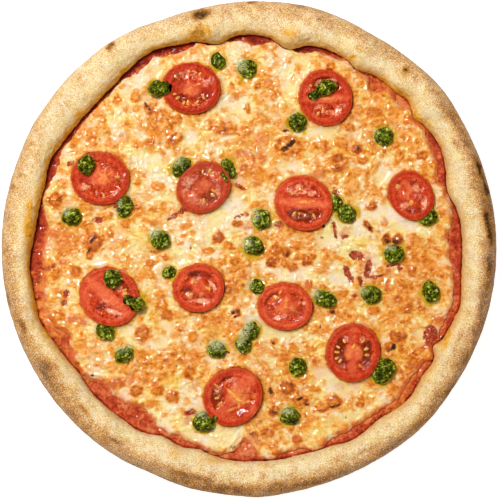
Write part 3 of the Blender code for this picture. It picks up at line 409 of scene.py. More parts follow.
# Green-gold oil that has run out of the dollops.
POOLS_OF_OIL = (
    (243, 80, 4, 6, 0, 0.9), (255, 68, 2.5, 7, 0, 0.6), (307, 137, 8, 3, -62, 0.95),
    (303, 128, 5, 4, 0, 0.7), (80, 218, 3, 5, 0, 0.7), (169, 169, 3, 7, 20, 0.9), (176, 178, 6, 2, 0, 0.7),
    (233, 160, 4, 8, 0, 0.7), (358, 213, 4, 6, 20, 0.95), (346, 221, 8, 2.4, 0, 0.8),
    (436, 219, 4, 3, -30, 0.9), (246, 255, 9, 4, -25, 0.95), (239, 249, 5, 3, 0, 0.9),
    (256, 257, 5, 3, -30, 0.7), (384, 236, 4, 11, 10, 0.6), (404, 242, 2.4, 9, 0, 0.9),
    (393, 232, 8, 3, 0, 0.4), (143, 297, 4, 9, 0, 0.9), (98, 328, 2.5, 6, 0, 0.5), (368, 305, 5, 3, 0, 0.8),
    (420, 294, 3, 6, 0, 0.7), (430, 305, 8, 3, 0, 0.6), (260, 333, 3, 9, -10, 0.8),
    (202, 432, 8, 3, -10, 0.95), (225, 428, 5, 2, -20, 0.6), (294, 376, 6, 3, -20, 0.7),
    (395, 135, 3, 8, 0, 0.6), (384, 146, 9, 2, 0, 0.4), (384, 387, 5, 4, -40, 0.8),
    (377, 382, 8, 2, 0, 0.5), (166, 277, 6, 2, 0, 0.5), (163, 273, 3, 2, 30, 0.8), (272, 218, 2, 5, 0, 0.7),
    (258, 230, 7, 2, 0, 0.5), (358, 285, 2.4, 4, 0, 0.7), (300, 418, 2, 8, 0, 0.4),
    (160, 249, 9, 2, -10, 0.6), (170, 242, 2, 6, 0, 0.6),
)

# ---------------------------------------------------------------- arithmetic on many points


def smoothstep(low, high, value):
    t = np.clip((value - low) / (high - low), 0.0, 1.0)
    return t * t * (3 - 2 * t)


def bell(value):
    """1 at 0, falling softly to almost nothing at 2 on either side."""
    return np.exp(-(value**2))


def between(stops, angle):
    """The value at each angle from a table of (angle, value) stops that goes once round."""
    return np.interp(angle, *zip(*stops))


def turn_between(angle, other):
    """The signed turn in degrees from other to angle, at most half a circle."""
    return (angle - other + 180) % 360 - 180


def swollen(radius, swells, angle):
    """An outline's radius at each angle: a mean radius with soft swells and hollows."""
    return radius + sum(amount * bell(turn_between(angle, at) / reach) for at, reach, amount in swells)


def outer_radius(angle):
    return swollen(CRUST_R, OUTER_SWELLS, angle)


def lip_radius(angle):
    return swollen(LIP_R, LIP_SWELLS, angle)


def cheese_radius(angle):
    return np.minimum(swollen(CHEESE_R, CHEESE_SWELLS, angle), lip_radius(angle) - LIP_CLEARANCE)


def tomato_radius(number, angle):
    _, _, radius, oval, direction, _ = TOMATOES[number - 1]
    return radius + oval * np.cos(2 * np.radians(angle - direction))


def polar(x, y):
    return np.hypot(x, y), np.degrees(np.arctan2(y, x)) % 360


def from_polar(radius, angle):
    return radius * np.cos(np.radians(angle)), radius * np.sin(np.radians(angle))


def about_tomato(x, y, number):
    """The distance and angle of each place from a slice's middle."""
    at_x, at_y = TOMATOES[number - 1][:2]
    return polar(x - at_x, y - at_y)


def stretched(x, y, at_x, at_y, half_length, half_width, direction):
    """The distance from a spot's middle, where 1 is the edge of its oval."""
    turn = math.radians(direction)
    along = (x - at_x) * math.cos(turn) + (y - at_y) * math.sin(turn)
    across = (y - at_y) * math.cos(turn) - (x - at_x) * math.sin(turn)
    return np.hypot(along / half_length, across / half_width)


def flat(x, y):
    return np.stack([x, y, np.zeros_like(x)], axis=1)


def oval_reach(x, y, oval):
    """The distance of each place from the middle of a mark, where 1 is its outline."""
    across, down, half_length, half_width, direction = oval
    at_x, at_y = photo_mm(across, down)
    return stretched(
        x, y, at_x, at_y, half_length / PIXELS_PER_MM, half_width / PIXELS_PER_MM, direction
    )


def strongest(x, y, table, softness):
    """The strongest of a table's marks at each place, each times its amount."""
    total = np.zeros(len(x))
    for *oval, amount in table:
        mark = smoothstep(1 + softness, 1 - softness, oval_reach(x, y, oval))
        total = np.maximum(total, amount * mark)
    return total


class Grain:
    """Seeded gradient noise in space, from about -1 to 1, for many points at once."""

    GAIN = 1.6  # brings the sum over a cell's corners to about -1 to 1
    FINER = 2.03  # each octave's lumps are smaller by this; off 2, so that no lattice lies on another

    def __init__(self, seed):
        draw = np.random.default_rng(seed)
        self.order = draw.permutation(256)
        slopes = draw.normal(size=(256, 3))
        self.slopes = slopes / np.linalg.norm(slopes, axis=1, keepdims=True)
        self.draws = draw.random((256, 4))

    def pick(self, cell):
        x, y, z = (cell & 255).T
        return self.order[(self.order[(self.order[x] + y) & 255] + z) & 255]

    def single(self, points):
        cell = np.floor(points).astype(int)
        inside = points - cell
        fade = inside**3 * (inside * (inside * 6 - 15) + 10)
        total = np.zeros(len(points))
        for corner in np.ndindex(2, 2, 2):
            share = np.prod(np.where(np.array(corner), fade, 1 - fade), axis=1)
            slope = self.slopes[self.pick(cell + corner)]
            total += share * np.sum(slope * (inside - corner), axis=1)
        return self.GAIN * total

    def __call__(self, points, size, octaves=1):
        total, weight = np.zeros(len(points)), 1.0
        for _ in range(octaves):
            total += weight * self.single(points / size)
            size, weight = size / self.FINER, weight / 2
        return total

    def cells(self, x, y, size):
        """The distance to the nearest scattered dot, in cells, and that dot's own random share."""
        px, py = x / size, y / size
        ix, iy = np.floor(px).astype(int), np.floor(py).astype(int)
        best, owner = np.full(len(x), np.inf), np.zeros(len(x))
        for dx, dy in np.ndindex(3, 3):
            cx, cy = ix + dx - 1, iy + dy - 1
            chosen = self.draws[self.pick(np.stack([cx, cy, np.zeros_like(cx)], axis=1))]
            away = np.hypot(cx + chosen[:, 0] - px, cy + chosen[:, 1] - py)
            nearer = away < best
            best = np.where(nearer, away, best)
            owner = np.where(nearer, chosen[:, 2], owner)
        return best, owner


# ---------------------------------------------------------------- shaders


class Socket:
    """A shader socket that takes part in arithmetic."""

    def __init__(self, finish, socket):
        self.finish = finish
        self.socket = socket

    def apply(self, operation, first, second):
        return self.finish.node("ShaderNodeMath", {"operation": operation}, {0: first, 1: second})

    def __add__(self, other):
        return self.apply("ADD", self, other)

    def __sub__(self, other):
        return self.apply("SUBTRACT", self, other)

    def __rsub__(self, other):
        return self.apply("SUBTRACT", other, self)

    def __mul__(self, other):
        return self.apply("MULTIPLY", self, other)

    __radd__ = __add__
    __rmul__ = __mul__


NOISE_SPREAD = 0.11  # the usual spread of Blender's noise about 0.5
STRAND_TURNS = (0.6, 2.2)  # radians, the two ways that pulled strands run
STRAND_LENGTH = 3  # how many times as long as wide a strand is
STRAND_PATCH = 13  # millimetres, the size of the patches whose strands run one way
BUTTER_GREEN = 0.04  # how much green a buttery colour loses for each share of blue that it loses
CREASE_WIDTH = (0.006, 0.03)  # distance from the noise's middle where a crease's edge begins and ends
COLOUR_A, COLOUR_B, COLOUR_OUT = 6, 7, 2  # the Mix node's sockets for colours


class Finish:
    """One material, whose nodes are added by type, settings and inputs."""

    def __init__(self, name, **sockets):
        self.material = bpy.data.materials.new(name)
        self.material.use_nodes = True
        self.tree = self.material.node_tree
        self.shader = self.tree.nodes["Principled BSDF"]
        self.place = self.node("ShaderNodeTexCoord", {}, {}, "Object")
        for socket, value in sockets.items():
            self.shader.inputs[socket.replace("_", " ")].default_value = value

    def node(self, kind, settings, inputs, output=0):
        made = self.tree.nodes.new(kind)
        for setting, value in settings.items():
            setattr(made, setting, value)
        for key, value in inputs.items():
            self.feed(made.inputs[key], value)
        return Socket(self, made.outputs[output])

    def feed(self, socket, value):
        if isinstance(value, Socket):
            self.tree.links.new(value.socket, socket)
        else:
            socket.default_value = value

    def masks(self, *names):
        """The masks of these names that the piece's own mesh carries."""
        return [self.node("ShaderNodeAttribute", {"attribute_name": name}, {}, "Fac") for name in names]

    def grain(self, size, detail=2.0, roughness=0.5, distortion=0.0):
        """Noise from 0 to 1 with lumps of about the given size in millimetres."""
        look = {"Scale": 1 / (size * MM), "Detail": detail, "Roughness": roughness, "Distortion": distortion}
        return self.node("ShaderNodeTexNoise", {}, {"Vector": self.place, **look})

    def vary(self, spread, size, detail=2.0, roughness=0.5, distortion=0.0):
        """Noise about 0 that is mostly within twice the given spread."""
        return (spread / NOISE_SPREAD) * (self.grain(size, detail, roughness, distortion) - 0.5)

    def strands(self, wander, drift, width):
        """Noise from 0 to 1 drawn out along lines that wander and change direction every so often."""
        pull = {"Scale": 1 / (wander * MM), "Detail": 1.0, "Vector": self.place}
        bent = self.node("ShaderNodeTexNoise", {}, pull, "Color")
        bent = self.node("ShaderNodeVectorMath", {"operation": "SCALE"}, {0: bent, "Scale": drift * MM})
        bent = self.node("ShaderNodeVectorMath", {"operation": "ADD"}, {0: bent, 1: self.place})
        drawn = []
        for turn in STRAND_TURNS:
            turned = {"Vector": bent, "Rotation": (0, 0, turn), "Scale": (1, STRAND_LENGTH, 1)}
            along = self.node("ShaderNodeMapping", {"vector_type": "POINT"}, turned)
            look = {"Vector": along, "Scale": 0.4 / (width * MM), "Detail": 2.0, "Roughness": 0.6}
            drawn.append(self.node("ShaderNodeTexNoise", {}, look))
        share = self.step(self.grain(STRAND_PATCH, 1.0), 0.44, 0.56)
        return share * drawn[0] + (1 - share) * drawn[1]

    def flecks(self, size):
        """A random value from 0 to 1 for each small chip of the given size in millimetres."""
        look = {"Vector": self.place, "Scale": 1 / (size * MM)}
        chips = self.node("ShaderNodeTexVoronoi", {}, look, "Color")
        return self.node("ShaderNodeSeparateColor", {}, {"Color": chips})

    def crease(self, size):
        """1 on thin winding lines about the given distance in millimetres apart."""
        offset = self.grain(size, 2.0, 0.5, 2.0) - 0.5
        away = self.node("ShaderNodeMath", {"operation": "ABSOLUTE"}, {0: offset})
        return 1 - self.step(away, *CREASE_WIDTH)

    def step(self, value, low, high):
        inputs = {"Value": value, "From Min": low, "From Max": high}
        return self.node("ShaderNodeMapRange", {"interpolation_type": "SMOOTHSTEP"}, inputs)

    def mix(self, share, first, second, blend="MIX"):
        settings = {"data_type": "RGBA", "blend_type": blend}
        inputs = {0: share, COLOUR_A: colour(first), COLOUR_B: colour(second)}
        return self.node("ShaderNodeMix", settings, inputs, COLOUR_OUT)

    def butter(self, share, under, depth):
        """The same colour, yellower where the share is low and milkier where it is high."""
        yellower = self.mix(1.0, under, (1.0, 1.0 - BUTTER_GREEN * depth, 1.0 - depth), "MULTIPLY")
        milkier = self.mix(1.0, under, (1.0, 1.0, 1.0 + depth), "MULTIPLY")
        return self.mix(share, yellower, milkier)

    def ramp(self, value, stops):
        """A colour for each value, blended between the given (value, colour) stops."""
        made = self.node("ShaderNodeValToRGB", {}, {"Fac": value})
        band = made.socket.node.color_ramp.elements
        for element, (at, tint) in zip(band, stops):
            element.position, element.color = at, colour(tint)
        for at, tint in stops[2:]:
            band.new(at).color = colour(tint)
        return made

    def bump(self, height, depth):
        """A normal for a relief of the given depth in millimetres."""
        return self.node("ShaderNodeBump", {}, {"Height": height, "Distance": MM * depth, "Strength": 1.0})

    def finish(self, **sockets):
        for socket, value in sockets.items():
            self.feed(self.shader.inputs[socket.replace("_", " ")], value)
        return self.material


def colour(value):
    """A colour of three linear shares, with its alpha added; a socket passes through."""
    if isinstance(value, Socket) or len(value) == 4:
        return value
    return (*value, 1.0)


# ---------------------------------------------------------------- meshes

WELD = 1e-5
MASK_LIMIT = 4


def outline_middle():
    """The middle of the crust's box in the part's source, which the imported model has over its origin."""
    angle = np.arange(ROUND_STEPS) * 360 / ROUND_STEPS
    x, y = from_polar(outer_radius(angle), angle)
    return (x.min() + x.max()) / 2, (y.min() + y.max()) / 2


MIDDLE_X, MIDDLE_Y = outline_middle()


def places_of(bm):
    return np.array([vert.co for vert in bm.verts])


def put_places(bm, x, y, z):
    for vert, place in zip(bm.verts, np.stack([x, y, z], axis=1)):
        vert.co = place


def make_ring(around, along):
    """A band for its user to bend round, with each vertex's angle and its step along the section."""
    bm = bmesh.new()
    bmesh.ops.create_grid(bm, x_segments=around, y_segments=along, size=0.5)
    bmesh.ops.translate(bm, verts=bm.verts, vec=(0.5, 0.5, 0))
    raw = places_of(bm)
    return bm, raw[:, 0] * 360, raw[:, 1] * along


def close_ring(bm):
    """Welds the bent band's two ends together and closes the hole at each end of its section."""
    bmesh.ops.remove_doubles(bm, verts=[vert for vert in bm.verts if vert.is_boundary], dist=WELD)
    rims = [edge for edge in bm.edges if edge.is_boundary]
    lids = bmesh.ops.holes_fill(bm, edges=rims, sides=0)["faces"]
    bmesh.ops.poke(bm, faces=lids)


def add_ball(bm, place, halves, direction, divisions, tilt=0.0):
    """A ball stretched to three half sizes, tilted, turned and put in its place."""
    turn = Matrix.Rotation(math.radians(direction), 4, "Z") @ Matrix.Rotation(tilt, 4, "Y")
    matrix = Matrix.Translation(place) @ turn @ Matrix.Diagonal((*halves, 1))
    bmesh.ops.create_icosphere(bm, subdivisions=divisions, radius=1, matrix=matrix)


class Piece:
    """A mesh in millimetres from the pizza's middle, which becomes a finished object of the scene."""

    def __init__(self, name, bm):
        bmesh.ops.triangulate(bm, faces=[face for face in bm.faces if len(face.verts) > 4])
        bmesh.ops.recalc_face_normals(bm, faces=bm.faces)
        self.name = name
        self.mesh = bpy.data.meshes.new(name)
        bm.to_mesh(self.mesh)
        bm.free()
        self.mesh.shade_smooth()

    def read(self):
        values = np.empty(3 * len(self.mesh.vertices))
        self.mesh.vertices.foreach_get("co", values)
        return values.reshape(-1, 3)

    def normals(self):
        values = np.empty(3 * len(self.mesh.vertices))
        self.mesh.vertex_normals.foreach_get("vector", values)
        return values.reshape(-1, 3)

    def write(self, places):
        self.mesh.vertices.foreach_set("co", places.ravel())
        self.mesh.update()

    def paint(self, **masks):
        for name, values in masks.items():
            layer = self.mesh.attributes.new(name, "FLOAT", "POINT")
            layer.data.foreach_set("value", np.clip(values, -MASK_LIMIT, MASK_LIMIT).astype(np.float32))

    def finish(self, material, slot, *nodes):
        """Puts the piece in place on the model, in metres, and links it."""
        self.write((self.read() - (MIDDLE_X, MIDDLE_Y, 0)) * MM)
        self.mesh.materials.append(material)
        made = bpy.data.objects.new(self.name, self.mesh)
        bpy.context.collection.objects.link(made)
        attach(made, "root")
        if nodes:
            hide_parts(*nodes)


# ---------------------------------------------------------------- crust

RIM_AROUND = 960
RIM_ALONG = 76
FLOOR_RINGS = 4
FLOOR_REACH = 0.9  # share of the radius that the flat rings cross, under the base and inside the rim
ROUND_WITHIN = 40  # radius inside which the base doesn't follow the uneven outlines
LUMP_RELIEF, FOLD_RELIEF, PORE_RELIEF = 0.55, 0.3, 0.14
EARLY_TOAST = (208, 26, 0.14)  # where toast begins nearer the middle: angle, reach in degrees, share
LIP_PIXELS = 224  # a rim mark nearer the middle than this is on the lip
CHARRED_ABOVE = 0.8  # strength above which a rim mark is charred

BREAD = (
    (0.0, (0.92, 0.77, 0.42)), (0.18, (0.84, 0.585, 0.245)), (0.38, (0.75, 0.39, 0.105)),
    (0.62, (0.53, 0.22, 0.045)), (1.0, (0.14, 0.060, 0.018)),
)
GOLDEN_BREAD = ((0.3, (0.66, 0.25, 0.010)), (0.48, (0.90, 0.42, 0.030)), (0.7, (0.97, 0.62, 0.13)))
# Colour of the pale specks: flour grains in part, and in part painted highlights on small bumps.
PALE_GRIT_AND_GLINTS = (1.0, 0.95, 0.80)
DARK_GRIT = (0.45, 0.19, 0.045)
FLOUR = (0.92, 0.84, 0.62)
SOAKED = (0.55, 0.11, 0.018)
SCORCHED = (0.40, 0.17, 0.035)
CHAR = (0.060, 0.026, 0.011)


def rim_section(along):
    """The rim's round section by share of its way, from its foot over the crest to the undercut lip."""
    middle, half = (CRUST_R + LIP_R) / 2, (CRUST_R - LIP_R) / 2
    power = 2 / RIM_FULLNESS
    phi = np.radians(-90 + (270 + UNDERCUT) * along)
    across = np.sign(np.cos(phi)) * np.abs(np.cos(phi)) ** power
    up = np.sign(np.sin(phi)) * np.abs(np.sin(phi)) ** power
    reach = np.where(up > 0, RIM_H - EDGE_Z, EDGE_Z)
    return middle + half * across, np.maximum(0.0, EDGE_Z + reach * up)


def bread_lift(x, y):
    """How far lumps and air bubbles lift the bread over its even section, as in the part's source."""
    places = np.stack([x, y], axis=1) / LUMP_SIZE
    lift = LUMP_HEIGHT * np.array([noise.noise(Vector((px, py, 0))) for px, py in places.tolist()])
    for angle, distance, radius, rise in RIM_BUBBLES:
        at_x, at_y = from_polar(distance, angle)
        lift += rise * bell(np.hypot(x - at_x, y - at_y) / radius)
    return lift


def crust_finish():
    made = Finish("baked_crust", Roughness=0.7, Specular_IOR_Level=0.08, Specular_Tint=(1, 0.8, 0.5, 1))
    toast, char, flour, wax, soak = made.masks("toast", "char", "flour", "wax", "soak")
    fine = made.grain(0.75, 2.0, 0.7)
    coarse = made.grain(2.4, 2.0, 0.6)
    rough = 0.4 + 0.85 * toast
    tone = toast + made.vary(0.06, 6.0, 2.0) + made.vary(0.04, 2.4, 2.0, 0.6) + 2.3 * rough * (fine - 0.5)
    bread = made.mix(wax, made.ramp(tone, BREAD), made.ramp(coarse, GOLDEN_BREAD))
    grit = made.grain(0.62, 1.0, 0.6)
    # Pale specks: flour grains in part, and in part painted highlights on the small bumps.
    bread = made.mix(0.9 * (1 - toast) * (1 - wax) * made.step(grit, 0.54, 0.64), bread, PALE_GRIT_AND_GLINTS)
    bread = made.mix(rough * made.step(grit, 0.43, 0.32), bread, DARK_GRIT)
    dust = flour * made.step(made.grain(0.8, 2.0, 0.7), 0.46, 0.6)
    bread = made.mix(0.25 * dust, bread, FLOUR)
    bread = made.butter(made.step(made.grain(9, 2.0, 0.5), 0.39, 0.61), bread, 0.07)
    bread = made.mix(0.8 * made.step(soak + made.vary(0.2, 2.0), 0.2, 0.9), bread, SOAKED)
    char = char * (1 + made.vary(0.4, 1.6, 3.0, 0.7))
    bread = made.mix(made.step(char, 0.03, 0.3), bread, SCORCHED)
    bread = made.mix(made.step(char, 0.15, 0.7), bread, CHAR)
    return made.finish(Base_Color=bread, Normal=made.bump(0.5 * coarse + 0.5 * fine, 0.9))


def make_crust():
    bm, angle, step = make_ring(RIM_AROUND, RIM_ALONG + 2 * FLOOR_RINGS)
    radius, z = rim_section(np.clip((step - FLOOR_RINGS) / RIM_ALONG, 0, 1))
    foot_share = np.clip(1 - step / FLOOR_RINGS, 0, 1)
    floor_share = np.clip((step - FLOOR_RINGS - RIM_ALONG) / FLOOR_RINGS, 0, 1)
    radius = radius * (1 - FLOOR_REACH * foot_share) * (1 - FLOOR_REACH * floor_share)
    z = np.where(floor_share > 0, BASE_T, z)
    x, y = from_polar(radius, angle)
    lift = bread_lift(x, y) * smoothstep(BASE_T, RIM_H, z)
    share = (radius - LIP_R) / (CRUST_R - LIP_R)
    lip, outer = lip_radius(angle), outer_radius(angle)
    x, y = from_polar(np.where(radius > ROUND_WITHIN, lip + share * (outer - lip), radius), angle)
    put_places(bm, x, y, z + lift)
    close_ring(bm)
    piece = Piece("bread_rim", bm)

    places = piece.read()
    radius, angle = polar(places[:, 0], places[:, 1])
    height = places[:, 2]
    bare = smoothstep(BASE_T, BASE_T + 3, height)
    lumps, folds, pores, skin = Grain(11), Grain(12), Grain(13), Grain(14)
    relief = LUMP_RELIEF * lumps(places, 8, 2) + FOLD_RELIEF * (1 - 2 * np.abs(folds(places, 4.5, 2)))
    relief = relief + PORE_RELIEF * pores(places, 1.9, 2)
    share = (radius - lip_radius(angle)) / (outer_radius(angle) - lip_radius(angle))
    places += piece.normals() * (bare * relief * (1 - 0.7 * smoothstep(0.88, 1.0, share)))[:, None]
    places[:, 2] = np.maximum(places[:, 2], 0)
    piece.write(places)

    early_at, early_reach, early_share = EARLY_TOAST
    early = early_share * bell(turn_between(angle, early_at) / early_reach)
    outside = smoothstep(0.30, 0.85, share + early + 0.10 * skin(places, 14, 2))
    toast = 0.06 + 1.15 * outside * between(RIM_TOAST, angle) + 0.04 * smoothstep(0.16, -0.02, share)
    toast += 0.12 * skin(places, 6, 3)
    # Painted shade: the last term darkens the outermost edge of the rim, as the shadow where it curves under.
    toast += 0.10 * relief + 0.25 * outside * smoothstep(0.94, 1.0, share)
    below = smoothstep(EDGE_Z - 1, EDGE_Z - 5, height) * (share > 0.4)
    toast = toast * (1 - below) + below * (0.5 + 0.25 * skin(places, 9, 3))
    near_lip = share + 0.09 * skin(places, 6, 2)
    golden = 0.75 * smoothstep(0.17, 0.0, near_lip) + 0.40 * smoothstep(0.5, 0.05, near_lip)
    wax = between(LIP_GOLD, angle) * golden * (share < 0.6)
    char = np.zeros(len(toast))
    for at, distance, reach, width, strength in RIM_MARKS:
        turn = turn_between(angle, at) + 0.5 * folds(places, 3)
        outward = (radius * PIXELS_PER_MM - distance) / width + 0.5 * pores(places, 3)
        spot = bell(np.hypot(turn / reach, outward)) * (1 - below)
        on_lip, full = distance < LIP_PIXELS, min(strength, 1)
        toast += (0.25 if on_lip else 0.75) * full * spot
        char += 1.15 * max(0.0, strength - CHARRED_ABOVE) * spot
        wax += (1.2 if on_lip else 0.45 * (strength > CHARRED_ABOVE)) * full * spot
    dusty = lumps(places, 26, 2) + 0.7 * smoothstep(0.7, 1.0, share)
    flour = smoothstep(0.05, 0.5, dusty) * smoothstep(0.45, 0.8, share)
    soak = smoothstep(SAUCE_TOP + 3.2, SAUCE_TOP + 0.6, height) * (share < 0.3)
    piece.paint(toast=toast, char=char, flour=flour, wax=wax, soak=soak)
    piece.finish(crust_finish(), "crust", "crust")


# ---------------------------------------------------------------- sauce

SAUCE_AROUND = 900
SAUCE_ALONG = 60
SAUCE_HOLE = 10  # radius inside which the layer is closed by one fan of faces
SAUCE_SEEN = 26  # how wide the finely divided band inside the lip is
SAUCE_LUMPS, SAUCE_GRIT = 0.25, 0.38  # heights of its relief

# How much lighter the sauce is: angle and share; the rest lies between. The darker stretch, from about 70 to
# 165 degrees, is painted shadow of the overhanging lip; the lighter stretches are the sauce's own more orange
# colour.
SAUCE_SHADE_AND_TONES = (
    (0, 0.0), (25, 0.0), (45, 0.25), (70, -0.32), (100, -0.22), (135, -0.34), (165, -0.24), (195, 0.04),
    (225, 0.08), (255, 0.2), (285, 0.2), (315, 0.0), (345, 0.2), (360, 0.0),
)
# Where it is thinner and more orange: angle, reach in degrees and share.
SAUCE_PALER = ((196, 12, 0.6), (218, 5, 0.35), (316, 16, 0.4), (262, 5, 0.3), (60, 6, 0.4), (44, 9, 0.45))

SAUCE = (
    (0.1, (0.18, 0.008, 0.002)), (0.4, (0.38, 0.030, 0.006)), (0.65, (0.58, 0.075, 0.016)),
    (0.95, (0.74, 0.24, 0.09)),
)
ORANGE_OIL = (0.80, 0.27, 0.045)


def sauce_finish():
    made = Finish("tomato_sauce", Specular_IOR_Level=0.1, Coat_Roughness=0.08)
    thick, oil, wet = made.masks("thick", "oil", "wet")
    pulp = made.grain(1.9, 3.0, 0.65, 0.6)
    red = made.ramp(thick + made.vary(0.16, 1.9, 3.0, 0.65, 0.6), SAUCE)
    red = made.mix(made.step(oil + made.vary(0.15, 1.5), 0.15, 1.0), red, ORANGE_OIL)
    return made.finish(
        Base_Color=red, Roughness=0.25 + 0.3 * pulp, Coat_Weight=wet, Normal=made.bump(pulp, 0.8)
    )


def make_sauce():
    bm, angle, step = make_ring(SAUCE_AROUND, SAUCE_ALONG)
    edge = LIP_R + 0.1
    # Under the layer, up its edge, in over its slope and then over its flat top to the middle.
    stops = (0, 2, 4, 6, SAUCE_ALONG - 4, SAUCE_ALONG)
    radius = np.interp(step, stops, (SAUCE_HOLE, edge, edge, edge - SAUCE_T, edge - SAUCE_SEEN, SAUCE_HOLE))
    levels = (SAUCE_Z, SAUCE_Z, SAUCE_TOP - SAUCE_T / 3, SAUCE_TOP, SAUCE_TOP, SAUCE_TOP)
    z = np.interp(step, stops, levels)
    x, y = from_polar(radius + (lip_radius(angle) - LIP_R) * smoothstep(20, 100, radius), angle)
    put_places(bm, x, y, z)
    close_ring(bm)
    piece = Piece("sauce_layer", bm)

    places = piece.read()
    radius, angle = polar(places[:, 0], places[:, 1])
    lumps, pulp = Grain(21), Grain(22)
    shade_and_tones = between(SAUCE_SHADE_AND_TONES, angle)
    over = smoothstep(SAUCE_Z + 0.3, SAUCE_TOP, places[:, 2])
    # The tone for each angle goes into the sauce's colour, and so does the painted lip shadow.
    thick = 0.5 + 0.35 * lumps(places, 6, 2) + shade_and_tones
    places[:, 2] += over * (SAUCE_LUMPS * lumps(places, 6, 2) + SAUCE_GRIT * pulp(places, 2.0, 2))
    near = radius - cheese_radius(angle)
    places[:, 2] = np.minimum(places[:, 2], CHEESE_Z - 0.05 + 0.5 * smoothstep(0, 2, near))
    piece.write(places)

    oil = 0.7 * bell(near / 1.3) * smoothstep(-0.2, 0.6, lumps(places, 9) + 0.15)
    bare_edge = smoothstep(-1.2, 0, radius - lip_radius(angle) + LIP_CLEARANCE)
    thick += 0.12 * smoothstep(3, 0, near) - 0.35 * bare_edge
    for at, reach, amount in SAUCE_PALER:
        oil += amount * bell(turn_between(angle, at) / reach) * (1 + 1.5 * lumps(places, 5, 2))
    piece.paint(thick=thick, oil=oil, wet=np.clip(0.7 + 2.0 * shade_and_tones, 0.1, 0.7))
    piece.finish(sauce_finish(), "sauce", "sauce")


# ---------------------------------------------------------------- cheese

CHEESE_RINGS = 176
EDGE_WANDER = 1.1  # how far the melted edge strays from its outline
EDGE_NOISE_R = 120.0  # radius of the ring on which that straying is read
EDGE_SLOPE = 3.0  # how wide its thinner edge is
CURD_RELIEF = (0.5, 0.5, 0.55)  # heights of its islands, strands and creases
DRAWN_UP = 3.1  # how high the cheese is drawn up against a slice
# Small blisters that lie everywhere: size, height, how brown they are, share of places that stay bare.
SCATTERED = ((6.5, 0.5, 0.30, 0.7), (3.7, 0.42, 0.36, 0.6), (2.3, 0.22, 0.22, 0.5))

MELT = (
    (0.0, (0.92, 0.80, 0.48)), (0.20, (0.885, 0.64, 0.275)), (0.36, (0.86, 0.43, 0.090)),
    (0.52, (0.79, 0.265, 0.018)), (0.72, (0.54, 0.11, 0.003)), (1.0, (0.17, 0.022, 0.001)),
)
# Cream of the pale pools. Its whitest stop makes whiter streaks that are painted highlights.
CREAM_AND_PAINTED_GLINTS = ((0.36, (0.84, 0.62, 0.32)), (0.5, (0.89, 0.75, 0.50)), (0.64, (0.94, 0.88, 0.74)))
SAUCE_PULP = ((0.3, (0.16, 0.006, 0.001)), (0.5, (0.40, 0.024, 0.003)), (0.75, (0.80, 0.28, 0.10)))
YELLOW_CURD = (0.92, 0.66, 0.12)
RED_STAIN = (0.70, 0.16, 0.045)
HERB_OIL = (0.66, 0.39, 0.004)
# Colour of a painted sheen: the lamp's reflection on herb oil beside the dollops.
PAINTED_HERB_SHEEN = (0.62, 0.66, 0.42)
BURNT_RIM = (0.30, 0.055, 0.006)
BURNT = (0.035, 0.010, 0.005)


def hexagon_reach(angle):
    """The distance from the middle to the side of a hexagon with a corner on +Y at radius 1."""
    return math.cos(math.pi / 6) / np.cos(np.radians((angle + 30) % 60 - 30))


def dollop_distance(x, y, number):
    """Millimetres outside a dollop's outline, negative inside."""
    lobes = DOLLOPS[number - 1]
    return np.minimum.reduce([(stretched(x, y, *lobe) - 1) * (lobe[2] + lobe[3]) / 2 for lobe in lobes])


def tomato_distance(x, y, number):
    """Millimetres outside a slice's outline, negative inside."""
    radius, angle = about_tomato(x, y, number)
    return radius - tomato_radius(number, angle)


class CheeseField:
    """What the melted cheese is like at each of many places: its relief and its masks."""

    def __init__(self, x, y):
        self.points = flat(x, y)
        self.wx = x + 0.9 * Grain(31)(self.points, 4.5, 3)
        self.wy = y + 0.9 * Grain(32)(self.points, 4.5, 3)
        drift = flat(Grain(39)(self.points, 13, 2), Grain(40)(self.points, 13, 2))
        self.flow = self.points + 3.5 * drift
        self.broad = Grain(33)(self.points, 34, 2)
        self.islands = Grain(35)(self.flow, 6.5, 2)
        self.bits = Grain(43)(self.flow, 2.8, 2)
        self.wrinkles = 1 - 2 * np.abs(Grain(36)(self.flow, 3.6, 1))
        self.strands = 1 - 2 * np.abs(Grain(41)(self.flow * (1, 1.5, 1), 5.0, 2))
        self.creases = Grain(42)(self.flow, 2.4, 2)
        self.lumps, self.dots = Grain(34), Grain(37)
        self.bx = self.wx + 0.8 * Grain(45)(self.points, 3.2, 2)
        self.by = self.wy + 0.8 * Grain(46)(self.points, 3.2, 2)

    def marks(self, table, softness):
        return strongest(self.wx, self.wy, table, softness)

    def zones(self):
        """How much paler or more golden a broad stretch is than the rest."""
        return sum(amount * bell(oval_reach(self.wx, self.wy, oval)) for *oval, amount in ZONES)

    def blisters(self):
        """Relief, toast and halo of the blisters: a browned dome, a darker ring, and paler cheese round it
        that is partly a painted highlight of the gloss about each blister.
        """
        relief, toast, halo = (np.zeros(len(self.wx)) for _ in range(3))
        for *oval, dark in BLISTERS:
            away = oval_reach(self.bx, self.by, oval)
            dome = smoothstep(1.3, 0.25, away)
            flank = smoothstep(1.45, 0.65, away)
            relief = np.maximum(relief, dome * 0.14 * (oval[2] + oval[3]) / 2)
            toast = np.maximum(toast, dark * (0.76 * flank + 0.20 * bell((away - 0.7) / 0.28)))
            # The halo is a paler ring, in part a painted highlight.
            halo = np.maximum(halo, bell((away - 1.5) / 0.25))
        return relief, toast, halo

    def scattered(self):
        """Relief and toast of the many small blisters that lie everywhere."""
        relief, toast = np.zeros(len(self.wx)), np.zeros(len(self.wx))
        for size, height, strength, bare in SCATTERED:
            away, draw = self.dots.cells(self.wx, self.wy, size)
            lively = smoothstep(bare, bare + 0.25, draw)
            dome = smoothstep(0.52, 0.1, away) * lively
            ring = bell((away - 0.34) / 0.08) * lively
            relief += height * dome
            toast = np.maximum(toast, strength * (0.8 * dome + 0.45 * ring))
        return relief, toast


